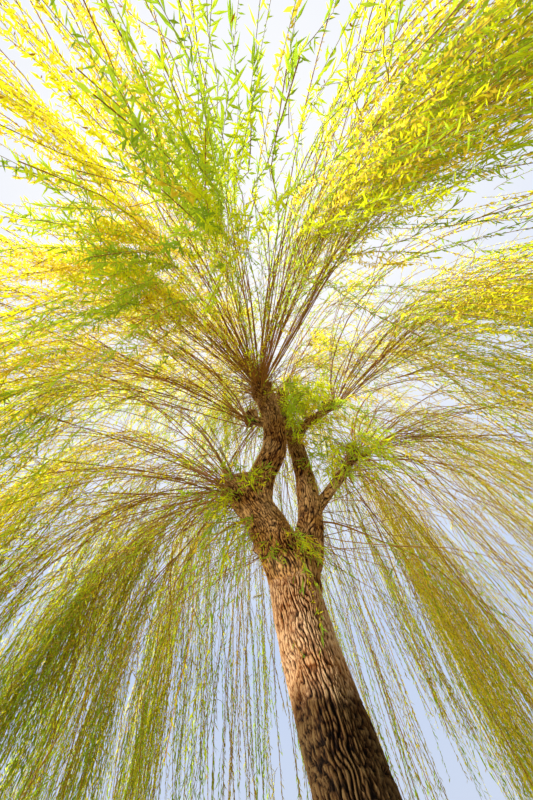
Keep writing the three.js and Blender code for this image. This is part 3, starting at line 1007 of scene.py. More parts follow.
class GrowthTree:
    """A Geometry Nodes tree with named inputs, applied to skeletons of paths."""

    def __init__(self, name: str, sockets: dict[str, str]) -> None:
        """Open a tree with its geometry and its own named inputs.

        Args:
            name: The tree's name.
            sockets: Each input's name and socket type.
        """
        self.tree = bpy.data.node_groups.new(name, "GeometryNodeTree")
        face = self.tree.interface
        face.new_socket(name="Geometry", in_out="INPUT", socket_type="NodeSocketGeometry")
        face.new_socket(name="Geometry", in_out="OUTPUT", socket_type="NodeSocketGeometry")
        self.identifiers = {
            label: face.new_socket(name=label, in_out="INPUT", socket_type=kind).identifier
            for label, kind in sockets.items()}
        self.start = self.tree.nodes.new("NodeGroupInput")

    def value(self, name: str) -> Socket:
        """Give one of the tree's inputs by name."""
        return self.start.outputs[name]

    def node(self, kind: str, inputs: dict[Any, Any] | None = None, **settings: Any) -> Node:
        """Add a node to this tree."""
        return add_node(self.tree, kind, inputs, **settings)

    def finish(self, geometry: Socket) -> None:
        """End the tree: instances made real, and the finish set.

        Args:
            geometry: What the tree has grown.
        """
        real = self.node("GeometryNodeRealizeInstances", {"Geometry": geometry})
        dressed = self.node("GeometryNodeSetMaterial", {
            "Geometry": real.outputs[0], "Material": self.value("Finish")})
        self.node("NodeGroupOutput", {"Geometry": dressed.outputs[0]})

    def grow(self, skeleton: Object, name: str, **values: Any) -> Object:
        """Grow a plain mesh on a skeleton.

        Args:
            skeleton: An object of paths, which is used up.
            name: The piece's name.
            values: The tree's inputs, by name with underscores for spaces.

        Returns:
            The grown piece.
        """
        modifier = skeleton.modifiers.new("grow", "NODES")
        modifier.node_group = self.tree
        for label, value in values.items():
            modifier[self.identifiers[label.replace("_", " ")]] = value
        graph = bpy.context.evaluated_depsgraph_get()
        mesh = bpy.data.meshes.new_from_object(skeleton.evaluated_get(graph), depsgraph=graph)
        mesh.name = name
        source = skeleton.data
        bpy.data.objects.remove(skeleton)
        bpy.data.meshes.remove(source)
        return add_object(name, mesh)


def twig_tree() -> GrowthTree:
    """Sweep a thin section along paths, as thick as each point says.

    Returns:
        The tree, with inputs Sides and Finish.
    """
    made = GrowthTree("grow_twigs", {"Sides": "NodeSocketInt", "Finish": "NodeSocketMaterial"})
    curve = made.node("GeometryNodeMeshToCurve", {"Mesh": made.value("Geometry")})
    section = made.node("GeometryNodeCurvePrimitiveCircle", {
        "Resolution": made.value("Sides"), "Radius": 1.0}, mode="RADIUS")
    thick = made.node("GeometryNodeInputNamedAttribute", {"Name": "thickness"}, data_type="FLOAT")
    swept = made.node("GeometryNodeCurveToMesh", {
        "Curve": curve.outputs[0], "Profile Curve": section.outputs[0],
        "Scale": thick.outputs[0], "Fill Caps": True})
    made.finish(swept.outputs[0])
    return made


def leaf_tree() -> GrowthTree:
    """Set leaves along paths: turned round the twig, tilted off it and drooping.

    Returns:
        The tree, with inputs Blade, Spacing, Tilt, Droop, Seed and Finish.
    """
    made = GrowthTree("grow_leaves", {
        "Blade": "NodeSocketObject", "Spacing": "NodeSocketFloat", "Tilt": "NodeSocketFloat",
        "Droop": "NodeSocketFloat", "Seed": "NodeSocketInt", "Finish": "NodeSocketMaterial"})
    curve = made.node("GeometryNodeMeshToCurve", {"Mesh": made.value("Geometry")})
    spots = made.node("GeometryNodeCurveToPoints", {
        "Curve": curve.outputs[0], "Length": made.value("Spacing")}, mode="LENGTH")
    drawn = []
    for seed_step, low, high in ((0.0, 0.0, TURN), (31.0, 0.35, 1.5), (77.0, 0.62, 1.25)):
        seed = made.node("ShaderNodeMath", {0: made.value("Seed"), 1: seed_step},
                         operation="ADD")
        drawn.append(made.node("FunctionNodeRandomValue", {
            2: low, 3: high, "Seed": seed.outputs[0]}, data_type="FLOAT").outputs[1])
    turn, spread, size = drawn
    tilt = made.node("ShaderNodeMath", {0: made.value("Tilt"), 1: spread}, operation="MULTIPLY")
    rotation = spots.outputs["Rotation"]
    for axis, angle in (((0.0, 0.0, 1.0), turn), ((1.0, 0.0, 0.0), tilt.outputs[0])):
        step = made.node("FunctionNodeAxisAngleToRotation", {"Axis": axis, "Angle": angle})
        rotation = made.node("FunctionNodeRotateRotation", {
            0: rotation, 1: step.outputs[0]}, rotation_space="LOCAL").outputs[0]
    hung = made.node("FunctionNodeAlignRotationToVector", {
        "Rotation": rotation, "Factor": made.value("Droop"),
        "Vector": (0.0, 0.0, -1.0)}, axis="Z", pivot_axis="AUTO")
    given = made.node("GeometryNodeInputNamedAttribute", {"Name": "thickness"}, data_type="FLOAT")
    scale = made.node("ShaderNodeMath", {0: size, 1: given.outputs[0]}, operation="MULTIPLY")
    blade = made.node("GeometryNodeObjectInfo", {"Object": made.value("Blade")})
    leaves = made.node("GeometryNodeInstanceOnPoints", {
        "Points": spots.outputs["Points"], "Instance": blade.outputs["Geometry"],
        "Rotation": hung.outputs[0], "Scale": scale.outputs[0]})
    made.finish(leaves.outputs[0])
    return made


def blade_object(name: str, vertices: Sequence[tuple[float, float, float]],
                 faces: Sequence[tuple[int, ...]]) -> Object:
    """Make a unit blade for the leaf tree to repeat.

    Args:
        name: Its name.
        vertices: Its points, with its root at the origin and its tip at about Z 1.
        faces: Its faces.

    Returns:
        An object outside the scene.
    """
    mesh = bpy.data.meshes.new(name)
    mesh.from_pydata([Vector(v) for v in vertices], [], faces)
    return bpy.data.objects.new(name, mesh)


def folded_leaf() -> Object:
    """Make a narrow willow leaf, folded along its rib and bowed to its tip."""
    vertices = [(0, 0, 0), (-0.062, 0.03, 0.4), (0, 0.0, 0.42), (0.062, 0.03, 0.38),
                (0.0, 0.1, 0.99)]
    return blade_object("near_leaf", vertices, [(0, 2, 1), (0, 3, 2), (1, 2, 4), (2, 3, 4)])


def bowed_leaf(name: str, half_width: float, belly: Range, tip: Range) -> Object:
    """Make a plainer leaf of two faces, bowed at its middle.

    Args:
        name: Its name.
        half_width: Half its width.
        belly: How far its widest part is bowed, and how far along that is.
        tip: How far its tip is bowed, and how far along that is.

    Returns:
        The leaf.
    """
    vertices = [(0, 0, 0), (-half_width, *belly), (half_width, *belly), (0.0, *tip)]
    return blade_object(name, vertices, [(0, 2, 1), (1, 2, 3)])


def spindle() -> Object:
    """Make a catkin: a slim spindle with three sides that bends up at its tip.

    Returns:
        The catkin.
    """
    radius, bend, middle = 0.12, 0.06, 0.5
    vertices = [(0.0, 0.0, 0.0)]
    for side in range(3):
        angle = side * TURN / 3
        vertices.append((radius * math.cos(angle), bend + radius * math.sin(angle), middle))
    vertices.append((0.0, 0.26, 0.97))
    faces = [(0, 2, 1), (0, 3, 2), (0, 1, 3), (4, 1, 2), (4, 2, 3), (4, 3, 1)]
    return blade_object("willow_catkin", vertices, faces)


class Tier(Enum):
    """Where a foliage mass hangs."""

    TOP = "top"
    SIDE = "side"
    LOW = "low"


@dataclass
class Mass:
    """One foliage mass: its own stem as in the solids, and the shoots around it."""

    name: str
    tier: Tier
    limb: Limb
    along: float
    offset: float
    azimuth: float
    half_wedge: float
    reach: float
    spread: float
    strands: int
    seed: int
    apex: float = 0.0
    low: float = 0.0
    rise: float = 0.0
    drop: float = 0.0
    stem_share: float = 1.0

    def root(self, azimuth: float, offset: float, sink: float = 0.0) -> Array:
        """Give where a shoot leaves the head, a little inside its bark.

        Args:
            azimuth: Its direction.
            offset: How far off the head's middle, as a share of the head's radius.
            sink: How far below the head's own place.

        Returns:
            The point.
        """
        radius = float(self.limb.radius(self.along, np.array(0.0)))
        point = self.limb.point(self.along) + compass(azimuth) * radius * offset
        return point - UP * sink

    def stem_foot(self, root: Array) -> Array:
        """Give where the mass's own stem hangs down to."""
        if self.tier is Tier.LOW:
            return root + compass(self.azimuth) * self.reach - UP * self.drop
        foot = RULE.centre() + compass(self.azimuth) * (self.reach * self.stem_share)
        foot[2] = self.low
        return foot

    def stem_rise(self, root: Array, apex: float) -> float:
        """Give how far a shoot's handles stand up for it to reach an apex."""
        if self.tier is Tier.LOW:
            return self.rise
        share = RULE.top_apex_share if self.tier is Tier.TOP else RULE.side_apex_share
        return (apex - root[2]) / share

    def hang(self, distance: float, start: Array, chance: float) -> float:
        """Give the height that a strand hangs down to, before its last spray.

        Args:
            distance: Level distance from the mass's centre.
            start: Where the strand leaves its shoot.
            chance: A random share.

        Returns:
            The height.
        """
        if self.tier is Tier.TOP:
            shortest, more = RULE.top_strand
            return max(RULE.top_floor + RULE.strand_room, start[2] - shortest - more * chance)
        if self.tier is Tier.LOW:
            shortest, more = RULE.low_strand
            return start[2] - self.drop * (shortest + more * chance)
        return RULE.hang_height(distance, chance)

    def strand_foot(self, start: Array, azimuth: float, side: int,
                    draw: Callable[[], float]) -> Array:
        """Give where a strand hangs down to, by the solids' rule.

        Args:
            start: Where the strand leaves its shoot.
            azimuth: The shoot's direction from the centre.
            side: Which side of the shoot it falls to, 1 or -1.
            draw: Gives random numbers from 0 to 1.

        Returns:
            The foot.
        """
        centre = self.root(self.azimuth, self.offset) if self.tier is Tier.LOW else RULE.centre()
        further = self.spread * (RULE.foot_spread[0] + RULE.foot_spread[1] * draw())
        level = math.hypot(*(start - centre)[:2]) + further
        level = min(level, self.reach)
        turn = side * self.half_wedge * (RULE.foot_turn[0] + RULE.foot_turn[1] * draw())
        foot = centre + compass(azimuth + turn) * level
        foot[2] = self.hang(level, start, draw())
        return foot


# The carrier of each upper mass and how high it arches, going round from +X.
TOPS = (("right_limb", 7.64), ("right_limb", 7.56), ("right_limb", 7.66),
        ("middle_stem", 7.42), ("middle_stem", 7.35), ("middle_stem", 7.44),
        ("middle_stem", 7.38), ("right_limb", 7.6))
# The carrier of each side mass and its place along it, going round from +X.
SIDES = (("right_arm", 0.96), ("right_arm", 0.96), ("right_arm", 0.66),
         ("right_limb", 0.96), ("right_limb", 0.96), ("left_limb", 0.93),
         ("left_limb", 0.93), ("left_limb", 0.93), ("left_knob", 0.95),
         ("middle_stem", 0.96), ("middle_stem", 0.96), ("middle_stem", 0.96),
         ("upper_right_arm", 0.96), ("upper_right_arm", 0.96))
# Each low mass with its carrier, place along it, direction, reach, rise and drop.
LOWS = (("fork_sprouts", "trunk", 0.93, -75, 0.33, 0.06, 0.9),
        ("left_low_shoots", "left_limb", 0.5, 172, 0.62, 0.09, 1.5),
        ("right_low_shoots", "right_limb", 0.2, 38, 2.1, 0.2, 1.2))


def masses(limbs: dict[str, Limb]) -> list[Mass]:
    """List the foliage masses as the solids have them.

    Args:
        limbs: The limbs that they grow from.

    Returns:
        Every mass: the upper ones, the sides, then the low ones.
    """
    found = []
    for index, (seat, apex) in enumerate(TOPS):
        found.append(Mass(
            f"top_foliage_{index + 1}", Tier.TOP, limbs[seat], along=0.97, offset=0.45,
            azimuth=(index + 0.5) * 360 / len(TOPS), half_wedge=180 / len(TOPS), reach=3.05,
            spread=0.5, strands=6, seed=100 + index, apex=apex, low=6.1))
    for index, (seat, along) in enumerate(SIDES):
        mass = Mass(
            f"side_foliage_{index + 1}", Tier.SIDE, limbs[seat], along=along, offset=0.55,
            azimuth=(index + 0.5) * 360 / len(SIDES), half_wedge=180 / len(SIDES),
            reach=RULE.radius * (0.96 if index % 2 == 0 else 0.985), spread=0.7, strands=7,
            seed=200 + index, stem_share=0.97)
        height = float(mass.root(mass.azimuth, mass.offset)[2])
        mass.apex = RULE.side_apex + RULE.side_apex_rise * (height - RULE.lowest_head)
        mass.low = (RULE.side_foot + RULE.side_foot_step * (index % 3)
                    + RULE.tip_spray_share * RULE.spray_length)
        found.append(mass)
    for index, (name, seat, along, azimuth, reach, rise, drop) in enumerate(LOWS):
        found.append(Mass(
            name, Tier.LOW, limbs[seat], along=along, offset=0.8, azimuth=azimuth,
            half_wedge=math.degrees(0.5), reach=reach, spread=0.2, strands=2, seed=300 + index,
            rise=rise, drop=drop))
    return found


@dataclass(frozen=True)
class Zone:
    """A stretch of the crown with its own fullness, its own mix of tints and its share of painted
    shade.
    """

    azimuth: float
    fullness: float
    gold: float
    green: float
    painted_shade: float = 0.0
    lift: float = 0.0


# Columns: direction, fullness, gold, green, painted shade, lift. The painted shade darkens the far
# side with olive leaves, deeper greens and darker, barer strands.
ZONES = (
    Zone(0, 1.0, 0.62, 0.24), Zone(30, 0.9, 0.74, 0.12),
    Zone(46, 0.6, 0.74, 0.16), Zone(60, 2.6, 0.80, 0.14),
    Zone(74, 0.3, 0.40, 0.25, 0.6), Zone(104, 0.24, 0.1, 0.35, 1.0),
    Zone(126, 0.32, 0.15, 0.35, 1.0), Zone(133, 1.7, 0.66, 0.2, 0.2),
    Zone(147, 2.1, 0.54, 0.32, 0.4), Zone(165, 2.6, 0.54, 0.33, 0.4),
    Zone(190, 1.7, 0.66, 0.2, 0.0, 0.5), Zone(215, 1.5, 0.80, 0.08, 0.0, 1.1),
    Zone(240, 1.7, 0.88, 0.04, 0.0, 1.2), Zone(258, 1.3, 0.88, 0.06, 0.0, 1.2),
    Zone(266, 0.7, 0.55, 0.30, 0.0, 1.1), Zone(271, 0.04, 0.25, 0.60, 0.0, 1.2),
    Zone(288, 0.04, 0.25, 0.60, 0.0, 1.0), Zone(294, 1.0, 0.60, 0.28, 0.0, 0.5),
    Zone(304, 1.5, 0.62, 0.30, 0.0, 0.4), Zone(311, 0.1, 0.60, 0.28, 0.0, 0.5),
    Zone(324, 0.06, 0.50, 0.35, 0.0, 0.6), Zone(338, 1.8, 0.62, 0.28, 0.0, 0.3),
    Zone(360, 1.0, 0.62, 0.24))

# The mix of tints on the low masses, on plumes chosen to be green, and on tufts.
LOW_ZONE = Zone(0, 1, 0.15, 0.6)
GREEN_ZONE = Zone(0, 1, 0.1, 0.6)
TUFT_ZONE = Zone(0, 1, 0.2, 0.42)


def zone_at(azimuth: float) -> Zone:
    """Blend the zones on either side of a direction.

    Args:
        azimuth: Degrees from +X towards +Y.

    Returns:
        The blend.
    """
    turn = azimuth % 360
    known = [zone.azimuth for zone in ZONES]
    parts = [float(np.interp(turn, known, [getattr(zone, part) for zone in ZONES]))
             for part in ("fullness", "gold", "green", "painted_shade", "lift")]
    return Zone(turn, *parts)


@dataclass(frozen=True)
class Plume:
    """One shoot hung with strands, by where its tip hangs."""

    azimuth: float
    level: float
    height: float
    strands: int
    width: float
    leaf: float = 1.0
    green: float | None = None


# Full plumes that stand out in the photograph: near ones over the viewer, then the rest.
CHOSEN_PLUMES = (
    Plume(265, 2.95, 2.8, 14, 0.2, 1.2, 0.8), Plume(268, 3.0, 2.6, 11, 0.15, 1.2, 0.8),
    Plume(263, 2.7, 3.1, 16, 0.35, 1.2, 0.7), Plume(247, 2.75, 2.6, 24, 0.25, 1.2, 0.8),
    Plume(236, 2.5, 3.2, 22, 0.35, 1.2, 0.75), Plume(205, 3.2, 3.2, 18, 0.3, 1.3, 0.6),
    Plume(213, 3.0, 3.2, 14, 0.3, 1.3, 0.6),
    Plume(278, 3.0, 2.9, 6, 0.1, 1.2, 0.7), Plume(294, 2.9, 3.0, 12, 0.3, 1.15, 0.5),
    Plume(300, 3.0, 3.1, 14, 0.35, 1.15, 0.5), Plume(302, 2.75, 3.2, 4, 0.08, 1.2, 0.9),
    Plume(292, 3.2, 3.0, 26, 0.4), Plume(296, 3.4, 3.0, 28, 0.5), Plume(300, 3.4, 3.1, 28, 0.4),
    Plume(303, 3.7, 2.9, 30, 0.35), Plume(306, 4.0, 2.6, 28, 0.3), Plume(340, 3.5, 3.0, 44, 0.3),
    Plume(345, 3.9, 2.4, 44, 0.2), Plume(20, 4.2, 1.8, 30, 0.15), Plume(36, 4.1, 1.8, 26, 0.12),
    Plume(58, 4.1, 1.3, 50, 0.12), Plume(63, 4.2, 1.1, 60, 0.12), Plume(88, 4.2, 1.2, 16, 0.1),
    Plume(134, 4.2, 1.0, 56, 0.14), Plume(142, 4.2, 1.1, 50, 0.14), Plume(150, 4.2, 1.2, 40, 0.12),
    Plume(160, 4.2, 1.4, 36, 0.14), Plume(172, 4.1, 1.8, 30, 0.14), Plume(184, 4.0, 2.2, 30, 0.15))


@dataclass(frozen=True)
class Tuft:
    """Short shoots that crowd on one stretch of a limb."""

    limb: str
    tier: Tier
    places: tuple[float, float]
    count: int
    lengths: tuple[float, float]
    lift: float
    droop: float
    leafy: float
    radius: float = 0.0024
    azimuth: float | None = None
    turn: float = 180.0
    leaf: float = 0.09


TUFTS = (
    Tuft("middle_stem", Tier.TOP, (0.86, 1.0), 80, (0.5, 1.9), 0.4, 0.15, 0.5, 0.0036),
    Tuft("middle_stem", Tier.TOP, (0.45, 0.98), 70, (0.3, 0.95), 0.1, 0.9, 0.06, 0.0022),
    Tuft("right_limb", Tier.TOP, (0.84, 1.0), 50, (0.4, 1.6), 0.5, 0.12, 0.5, 0.0034),
    Tuft("right_limb", Tier.TOP, (0.72, 0.97), 44, (0.15, 0.45), 0.3, 0.6, 1.0, 0.0024, 250, 90),
    Tuft("right_limb", Tier.TOP, (0.5, 0.85), 30, (0.25, 0.7), 0.2, 1.2, 1.0, 0.0024, 275, 60,
         0.12),
    Tuft("left_limb", Tier.SIDE, (0.78, 1.0), 80, (0.5, 1.6), 0.45, 0.35, 0.25, 0.0036, 185, 80),
    Tuft("left_limb", Tier.SIDE, (0.6, 1.0), 44, (0.15, 0.45), 0.2, 0.9, 1.0, 0.0024, 240, 90),
    Tuft("left_limb", Tier.SIDE, (0.3, 0.85), 44, (0.2, 0.5), 0.2, 1.5, 1.0, 0.0022, 205, 40, 0.1),
    Tuft("left_knob", Tier.SIDE, (0.7, 1.0), 45, (0.3, 1.3), 0.4, 0.3, 0.3, 0.0032),
    Tuft("right_arm", Tier.SIDE, (0.45, 1.0), 50, (0.2, 0.6), 0.4, 0.6, 1.0),
    Tuft("right_arm", Tier.SIDE, (0.8, 1.0), 40, (0.4, 1.4), 0.6, 0.25, 0.3, 0.0032),
    Tuft("upper_right_arm", Tier.SIDE, (0.1, 0.9), 56, (0.3, 0.9), 0.2, 1.2, 1.0, 0.0024, 260, 90,
         0.12),
    Tuft("right_arm", Tier.SIDE, (0.5, 1.0), 36, (0.3, 0.8), 0.2, 1.2, 1.0, 0.0024, 280, 90,
         0.12),
    Tuft("upper_right_arm", Tier.SIDE, (0.3, 1.0), 60, (0.3, 1.1), 0.4, 0.25, 0.6, 0.003),
    Tuft("trunk", Tier.LOW, (0.86, 0.97), 22, (0.12, 0.4), 0.3, 0.9, 1.0, 0.002, -80, 50),
    Tuft("left_limb", Tier.LOW, (0.2, 0.6), 26, (0.5, 1.5), 0.1, 0.8, 0.1, 0.0032, 170, 50),
    Tuft("right_limb", Tier.LOW, (0.05, 0.3), 18, (0.6, 2.0), 0.15, 0.35, 0.15, 0.0045, 25, 35))


class Draws(np.random.Generator):
    """Seeded random numbers, with a draw from a named range."""

    def within(self, limits: Range) -> float:
        """Draw a number from a range."""
        return self.uniform(*limits)


@dataclass(frozen=True)
class TintDeal:
    """Shares by which sprays are dealt their tints, and how painted shade changes these near the
    ground.
    """

    gold: float = 0.62
    deep: float = 0.35
    # More deep green where the crown has painted shade.
    deep_in_shade: float = 0.4
    with_catkins: float = 0.3
    more_gold_in_flower: float = 0.25
    gold_out_of_flower: float = 0.5
    # Going down between these heights, painted shade makes sprays less golden, greener and more
    # often olive.
    ground_shade_between: Range = (3.8, 2.2)
    ground_shade: float = 0.3
    most_green: float = 0.95
    least_ungolden: float = 0.05


@dataclass(frozen=True)
class SwayHabit:
    """How paths wander: a slow bend, and a quick one that grows towards the tip."""

    slow: Range = (3, 6)
    quick: Range = (10, 20)
    quick_share: float = 0.35
    onset: float = 0.7
    upright: float = 0.3


@dataclass(frozen=True)
class ShootHabit:
    """Where a mass's shoots hang, and how they leave its head and fork."""

    jitter: Range = (0.1, 0.9)
    top_levels: Range = (0.3, 0.98)
    top_heights: Range = (-0.2, 0.4)
    side_levels: Range = (0.6, 0.98)
    least_full: float = 0.25
    thin_share: float = 0.4
    offsets: Range = (0.2, 0.8)
    sinks: Range = (0.0, 0.22)
    top_lowered: Range = (0.0, 0.8)
    side_lowered: Range = (0.0, 2.0)
    least_rise: float = 0.3
    leans: Range = (0.1, 1.0)
    scatter: float = 0.2
    girths: Range = (0.3, 0.75)
    taper: float = 1.6
    sway: float = 0.17
    bare: float = 0.4
    fork_places: Range = (0.04, 0.32)
    fork_turn: float = 60.0
    fork_levels: Range = (0.75, 1.04)
    fork_most: float = 0.96
    fork_raised: Range = (0.0, 1.0)
    fork_leave: float = 0.3
    fork_lowered: Range = (0.0, 0.9)
    fork_girth: float = 0.4


@dataclass(frozen=True)
class StrandHabit:
    """How strands leave a shoot and hang about its tip."""

    first: float = 0.22
    run: float = 0.72
    crowding: float = 0.6
    outward: Range = (0.15, 1.0)
    spread: Range = (-0.2, 0.5)
    turn: float = 24.0
    evenness: float = 1.5
    past_tip: float = 0.3
    shortest: float = 0.3
    sway: float = 0.07
    bare: float = 0.2
    # Barer strands, showing more rind, where the crown has painted shade.
    bare_in_shade: float = 0.6
    thin_zone: float = 0.6


@dataclass(frozen=True)
class TwigHabit:
    """How short leafy twigs leave a shoot."""

    places: Range = (0.05, 0.75)
    ahead: float = 0.8
    scatter: float = 0.55
    lengths: Range = (0.25, 0.85)
    sag: Range = (0.0, 0.5)
    handles: Range = (0.3, 0.6)
    radius: float = 0.0026
    leaf_share: float = 0.85
    points: int = 3


@dataclass(frozen=True)
class SproutHabit:
    """How the short shoots of a tuft stand off their limb and droop."""

    seat: float = 0.85
    lifts: Range = (0.3, 1.5)
    scatter: Range = (0.25, 0.3)
    far_lift: float = 0.6
    handles: tuple[float, float, float] = (0.35, 0.35, 0.25)
    droops: Range = (0.4, 1.2)
    girths: Range = (0.7, 1.3)
    sway: float = 0.03
    dense: float = 0.9
    dense_bare: float = 0.1
    bare: float = 0.4
    points: int = 8


@dataclass(frozen=True)
class Setting:
    """Where a twig hangs, its stretch of the crown and the length of its leaves."""

    tier: Tier
    zone: Zone
    leaf: float


@dataclass(frozen=True)
class LeafKind:
    """A unit blade and how it is set along a twig."""

    blade: Object
    spacing: float
    tilt: float = 0.85
    droop: float = 0.12


@dataclass
class Canopy:
    """All shoots, strands and sprays, gathered by kind and tier and grown into pieces."""

    limbs: dict[str, Limb]
    shoots_each: dict[Tier, int] = field(default_factory=lambda: {Tier.TOP: 6, Tier.SIDE: 10})
    strands_each: dict[Tier, int] = field(default_factory=lambda: {Tier.TOP: 9, Tier.SIDE: 17})
    side_twigs: dict[Tier, int] = field(default_factory=lambda: {
        Tier.TOP: 18, Tier.SIDE: 8, Tier.LOW: 5})
    strand_shares: Range = (0.4, 1.6)
    plume_width: float = 0.16
    highest: float = 7.7
    shoot_points: int = 14
    strand_points: int = 7
    own_radius: float = 0.012
    shoot_radius: float = 0.0088
    strand_radius: float = 0.0032
    tip_radius: float = 0.0015
    leaf_size: float = 0.082
    leaf_spacing: float = 0.04
    young_spacing: float = 0.0265
    near_spacing: float = 0.032
    back_spacing: float = 0.031
    back_share: float = 0.84
    bud_share: float = 0.58
    leaf_spread: Range = (0.85, 1.15)
    catkin_size: float = 0.042
    catkin_spacing: float = 0.4
    least_tone: float = 0.25
    gold_tone: float = 0.5
    deal: TintDeal = TintDeal()
    wander: SwayHabit = SwayHabit()
    shoot: ShootHabit = ShootHabit()
    strand: StrandHabit = StrandHabit()
    twig: TwigHabit = TwigHabit()
    sprout: SproutHabit = SproutHabit()

    def __post_init__(self) -> None:
        """Open the bundles."""
        self.twigs: dict[tuple[str, Tier], Bundle] = {}
        self.leaves: dict[tuple[Tint, str, bool], Bundle] = {}
        self.catkins = Bundle()
        self.chance = Draws(np.random.PCG64(1877))

    def sway(self, path: Array, amount: float) -> Array:
        """Bend a path a little, more towards its tip.

        Args:
            path: Its points.
            amount: How far it sways, in metres.

        Returns:
            The swayed path.
        """
        habit = self.wander
        share = np.linspace(0, 1, len(path))[:, None]
        phase = self.chance.uniform(0, TURN, 3)
        slow = np.sin(share * self.chance.uniform(*habit.slow, 3) + phase) - np.sin(phase)
        quick = np.sin(share * self.chance.uniform(*habit.quick, 3) + phase)
        bend = slow + habit.quick_share * quick * share
        return path + bend * amount * share ** habit.onset * np.array([1, 1, habit.upright])

    def add_twig(self, kind: str, tier: Tier, path: Array, thick: Array,
                 gold: float = 0.4) -> None:
        """Gather a twig's wood, lighter where the crown is golden.

        Args:
            kind: Shoots, sprouts or strands.
            tier: The tier it belongs to.
            path: Its points.
            thick: Its radius at each point.
            gold: How golden the crown is there.
        """
        golden = self.gold_tone * gold
        tone = min(1.0, self.chance.uniform(0.0, self.least_tone + golden) + golden)
        self.twigs.setdefault((kind, tier), Bundle()).add(path, thick, tone)

    def pick_tint(self, gold: float, green: float, painted_shade: float) -> Tint:
        """Deal a spray its tint.

        Args:
            gold: Share of sprays that are golden.
            green: Share of sprays that are green.
            painted_shade: Share of the others, and of some golden ones, that are olive: painted
                shade.

        Returns:
            The tint.
        """
        roll = self.chance.random()
        # Olive leaves and extra deep greens are painted shade.
        is_shaded = self.chance.random() < painted_shade
        if roll < gold * self.deal.gold:
            return Tint.GOLD
        if roll < gold:
            return Tint.OLIVE if is_shaded else Tint.STRAW
        if roll < gold + green:
            is_deep = self.chance.random() < self.deal.deep + self.deal.deep_in_shade * painted_shade
            return Tint.DEEP if is_deep else Tint.FRESH
        return Tint.OLIVE if is_shaded else Tint.LIME

    def dress(self, path: Array, setting: Setting, bare: float) -> None:
        """Hang sprays along a twig: each a stretch with its own tint.

        Args:
            path: The twig's points.
            setting: Where it hangs.
            bare: Share of the twig, from its start, that has no leaves.
        """
        leafy = path[int(round(bare * (len(path) - 1))):]
        if len(leafy) < 2:
            return
        in_flower = self.chance.random() < setting.zone.gold
        if in_flower and self.chance.random() < self.deal.with_catkins:
            self.catkins.add(leafy, np.full(len(leafy), self.catkin_size))
        cut = len(leafy) // 2
        for stretch in ([leafy[:cut + 1], leafy[cut:]] if cut >= 2 else [leafy]):
            self.add_spray(stretch, setting, in_flower)

    def add_spray(self, stretch: Array, setting: Setting, in_flower: bool) -> None:
        """Add one stretch of leaves of one tint, greener and more often olive near the ground:
        painted shade.

        Args:
            stretch: The stretch's points.
            setting: Where its twig hangs.
            in_flower: Whether its twig is in flower, and so more golden.
        """
        deal, zone, tier = self.deal, setting.zone, setting.tier
        # Painted shade near the ground: less gold, more green and more olive.
        low = deal.ground_shade * float(smoothstep(stretch[:, 2].mean(), *deal.ground_shade_between))
        gold = (min(1.0, zone.gold + deal.more_gold_in_flower) if in_flower
                else zone.gold * deal.gold_out_of_flower)
        gold *= 1 - low
        green = zone.green / max(1 - zone.gold, deal.least_ungolden) + low
        tint = self.pick_tint(gold, (1 - gold) * min(deal.most_green, green),
                              min(1.0, zone.painted_shade + low))
        length = setting.leaf * self.chance.within(self.leaf_spread)
        length *= self.bud_share if tint.is_golden else 1.0
        part = tier.value
        if tier is Tier.SIDE:
            part = "front" if stretch[:, 1].mean() < RULE.axis[1] else "back"
            length *= 1.0 if part == "front" else self.back_share
        is_near = setting.leaf > self.leaf_size and not tint.is_golden
        self.leaves.setdefault((tint, part, is_near), Bundle()).add(
            stretch, np.full(len(stretch), length))

    def add_strand(self, handles: Array, setting: Setting) -> None:
        """Add one hanging strand with its leaves.

        Args:
            handles: Its four handles.
            setting: Where it hangs.
        """
        zone = setting.zone
        places = np.linspace(0, 1, self.strand_points)
        path = self.sway(along_bezier(handles, places), self.strand.sway)
        thick = self.strand_radius + (self.tip_radius - self.strand_radius) * places
        # Painted shade: strands in shaded zones get darker rind and, where the zone is thin, barer
        # stretches.
        self.add_twig("strands", setting.tier, path, thick, zone.gold * (1 - zone.painted_shade))
        is_thin = zone.fullness < self.strand.thin_zone
        most_bare = self.strand.bare + self.strand.bare_in_shade * zone.painted_shade * is_thin
        self.dress(path, setting, self.chance.uniform(0.0, most_bare))

    def add_shoot(self, handles: Array, radius: float, setting: Setting) -> None:
        """Add one shoot's wood, with leaves on its outer part and twigs along it.

        Args:
            handles: Its four handles.
            radius: Its radius at its root.
            setting: Where it hangs.
        """
        places = np.linspace(0, 1, self.shoot_points)
        path = self.sway(along_bezier(handles, places), self.shoot.sway)
        thick = radius * (1 - places) ** self.shoot.taper + self.strand_radius
        self.add_twig("shoots", setting.tier, path, thick)
        self.dress(path, setting, self.shoot.bare)
        for _ in range(round(self.side_twigs[setting.tier] * min(1.0, setting.zone.fullness))):
            self.add_side_twig(handles, setting)

    def add_side_twig(self, handles: Array, setting: Setting) -> None:
        """Add a short leafy twig on a shoot.

        Args:
            handles: The shoot's four handles.
            setting: Where the shoot hangs.
        """
        habit = self.twig
        at = self.chance.within(habit.places)
        start, ahead = along_bezier(handles, [at, at + 0.02])
        leave = unit(unit(ahead - start) * habit.ahead + self.chance.normal(0, habit.scatter, 3))
        length = self.chance.within(habit.lengths)
        tip = start + leave * length - UP * length * self.chance.within(habit.sag)
        near, far = (start + leave * length * share for share in habit.handles)
        path = along_bezier(np.array([start, near, far, tip]), np.linspace(0, 1, habit.points))
        path[:, 2] = np.minimum(path[:, 2], self.highest)
        thick = np.linspace(habit.radius, self.tip_radius, habit.points)
        self.add_twig("sprouts", setting.tier, path, thick, setting.zone.gold)
        self.dress(path, replace(setting, leaf=setting.leaf * habit.leaf_share), bare=0.0)

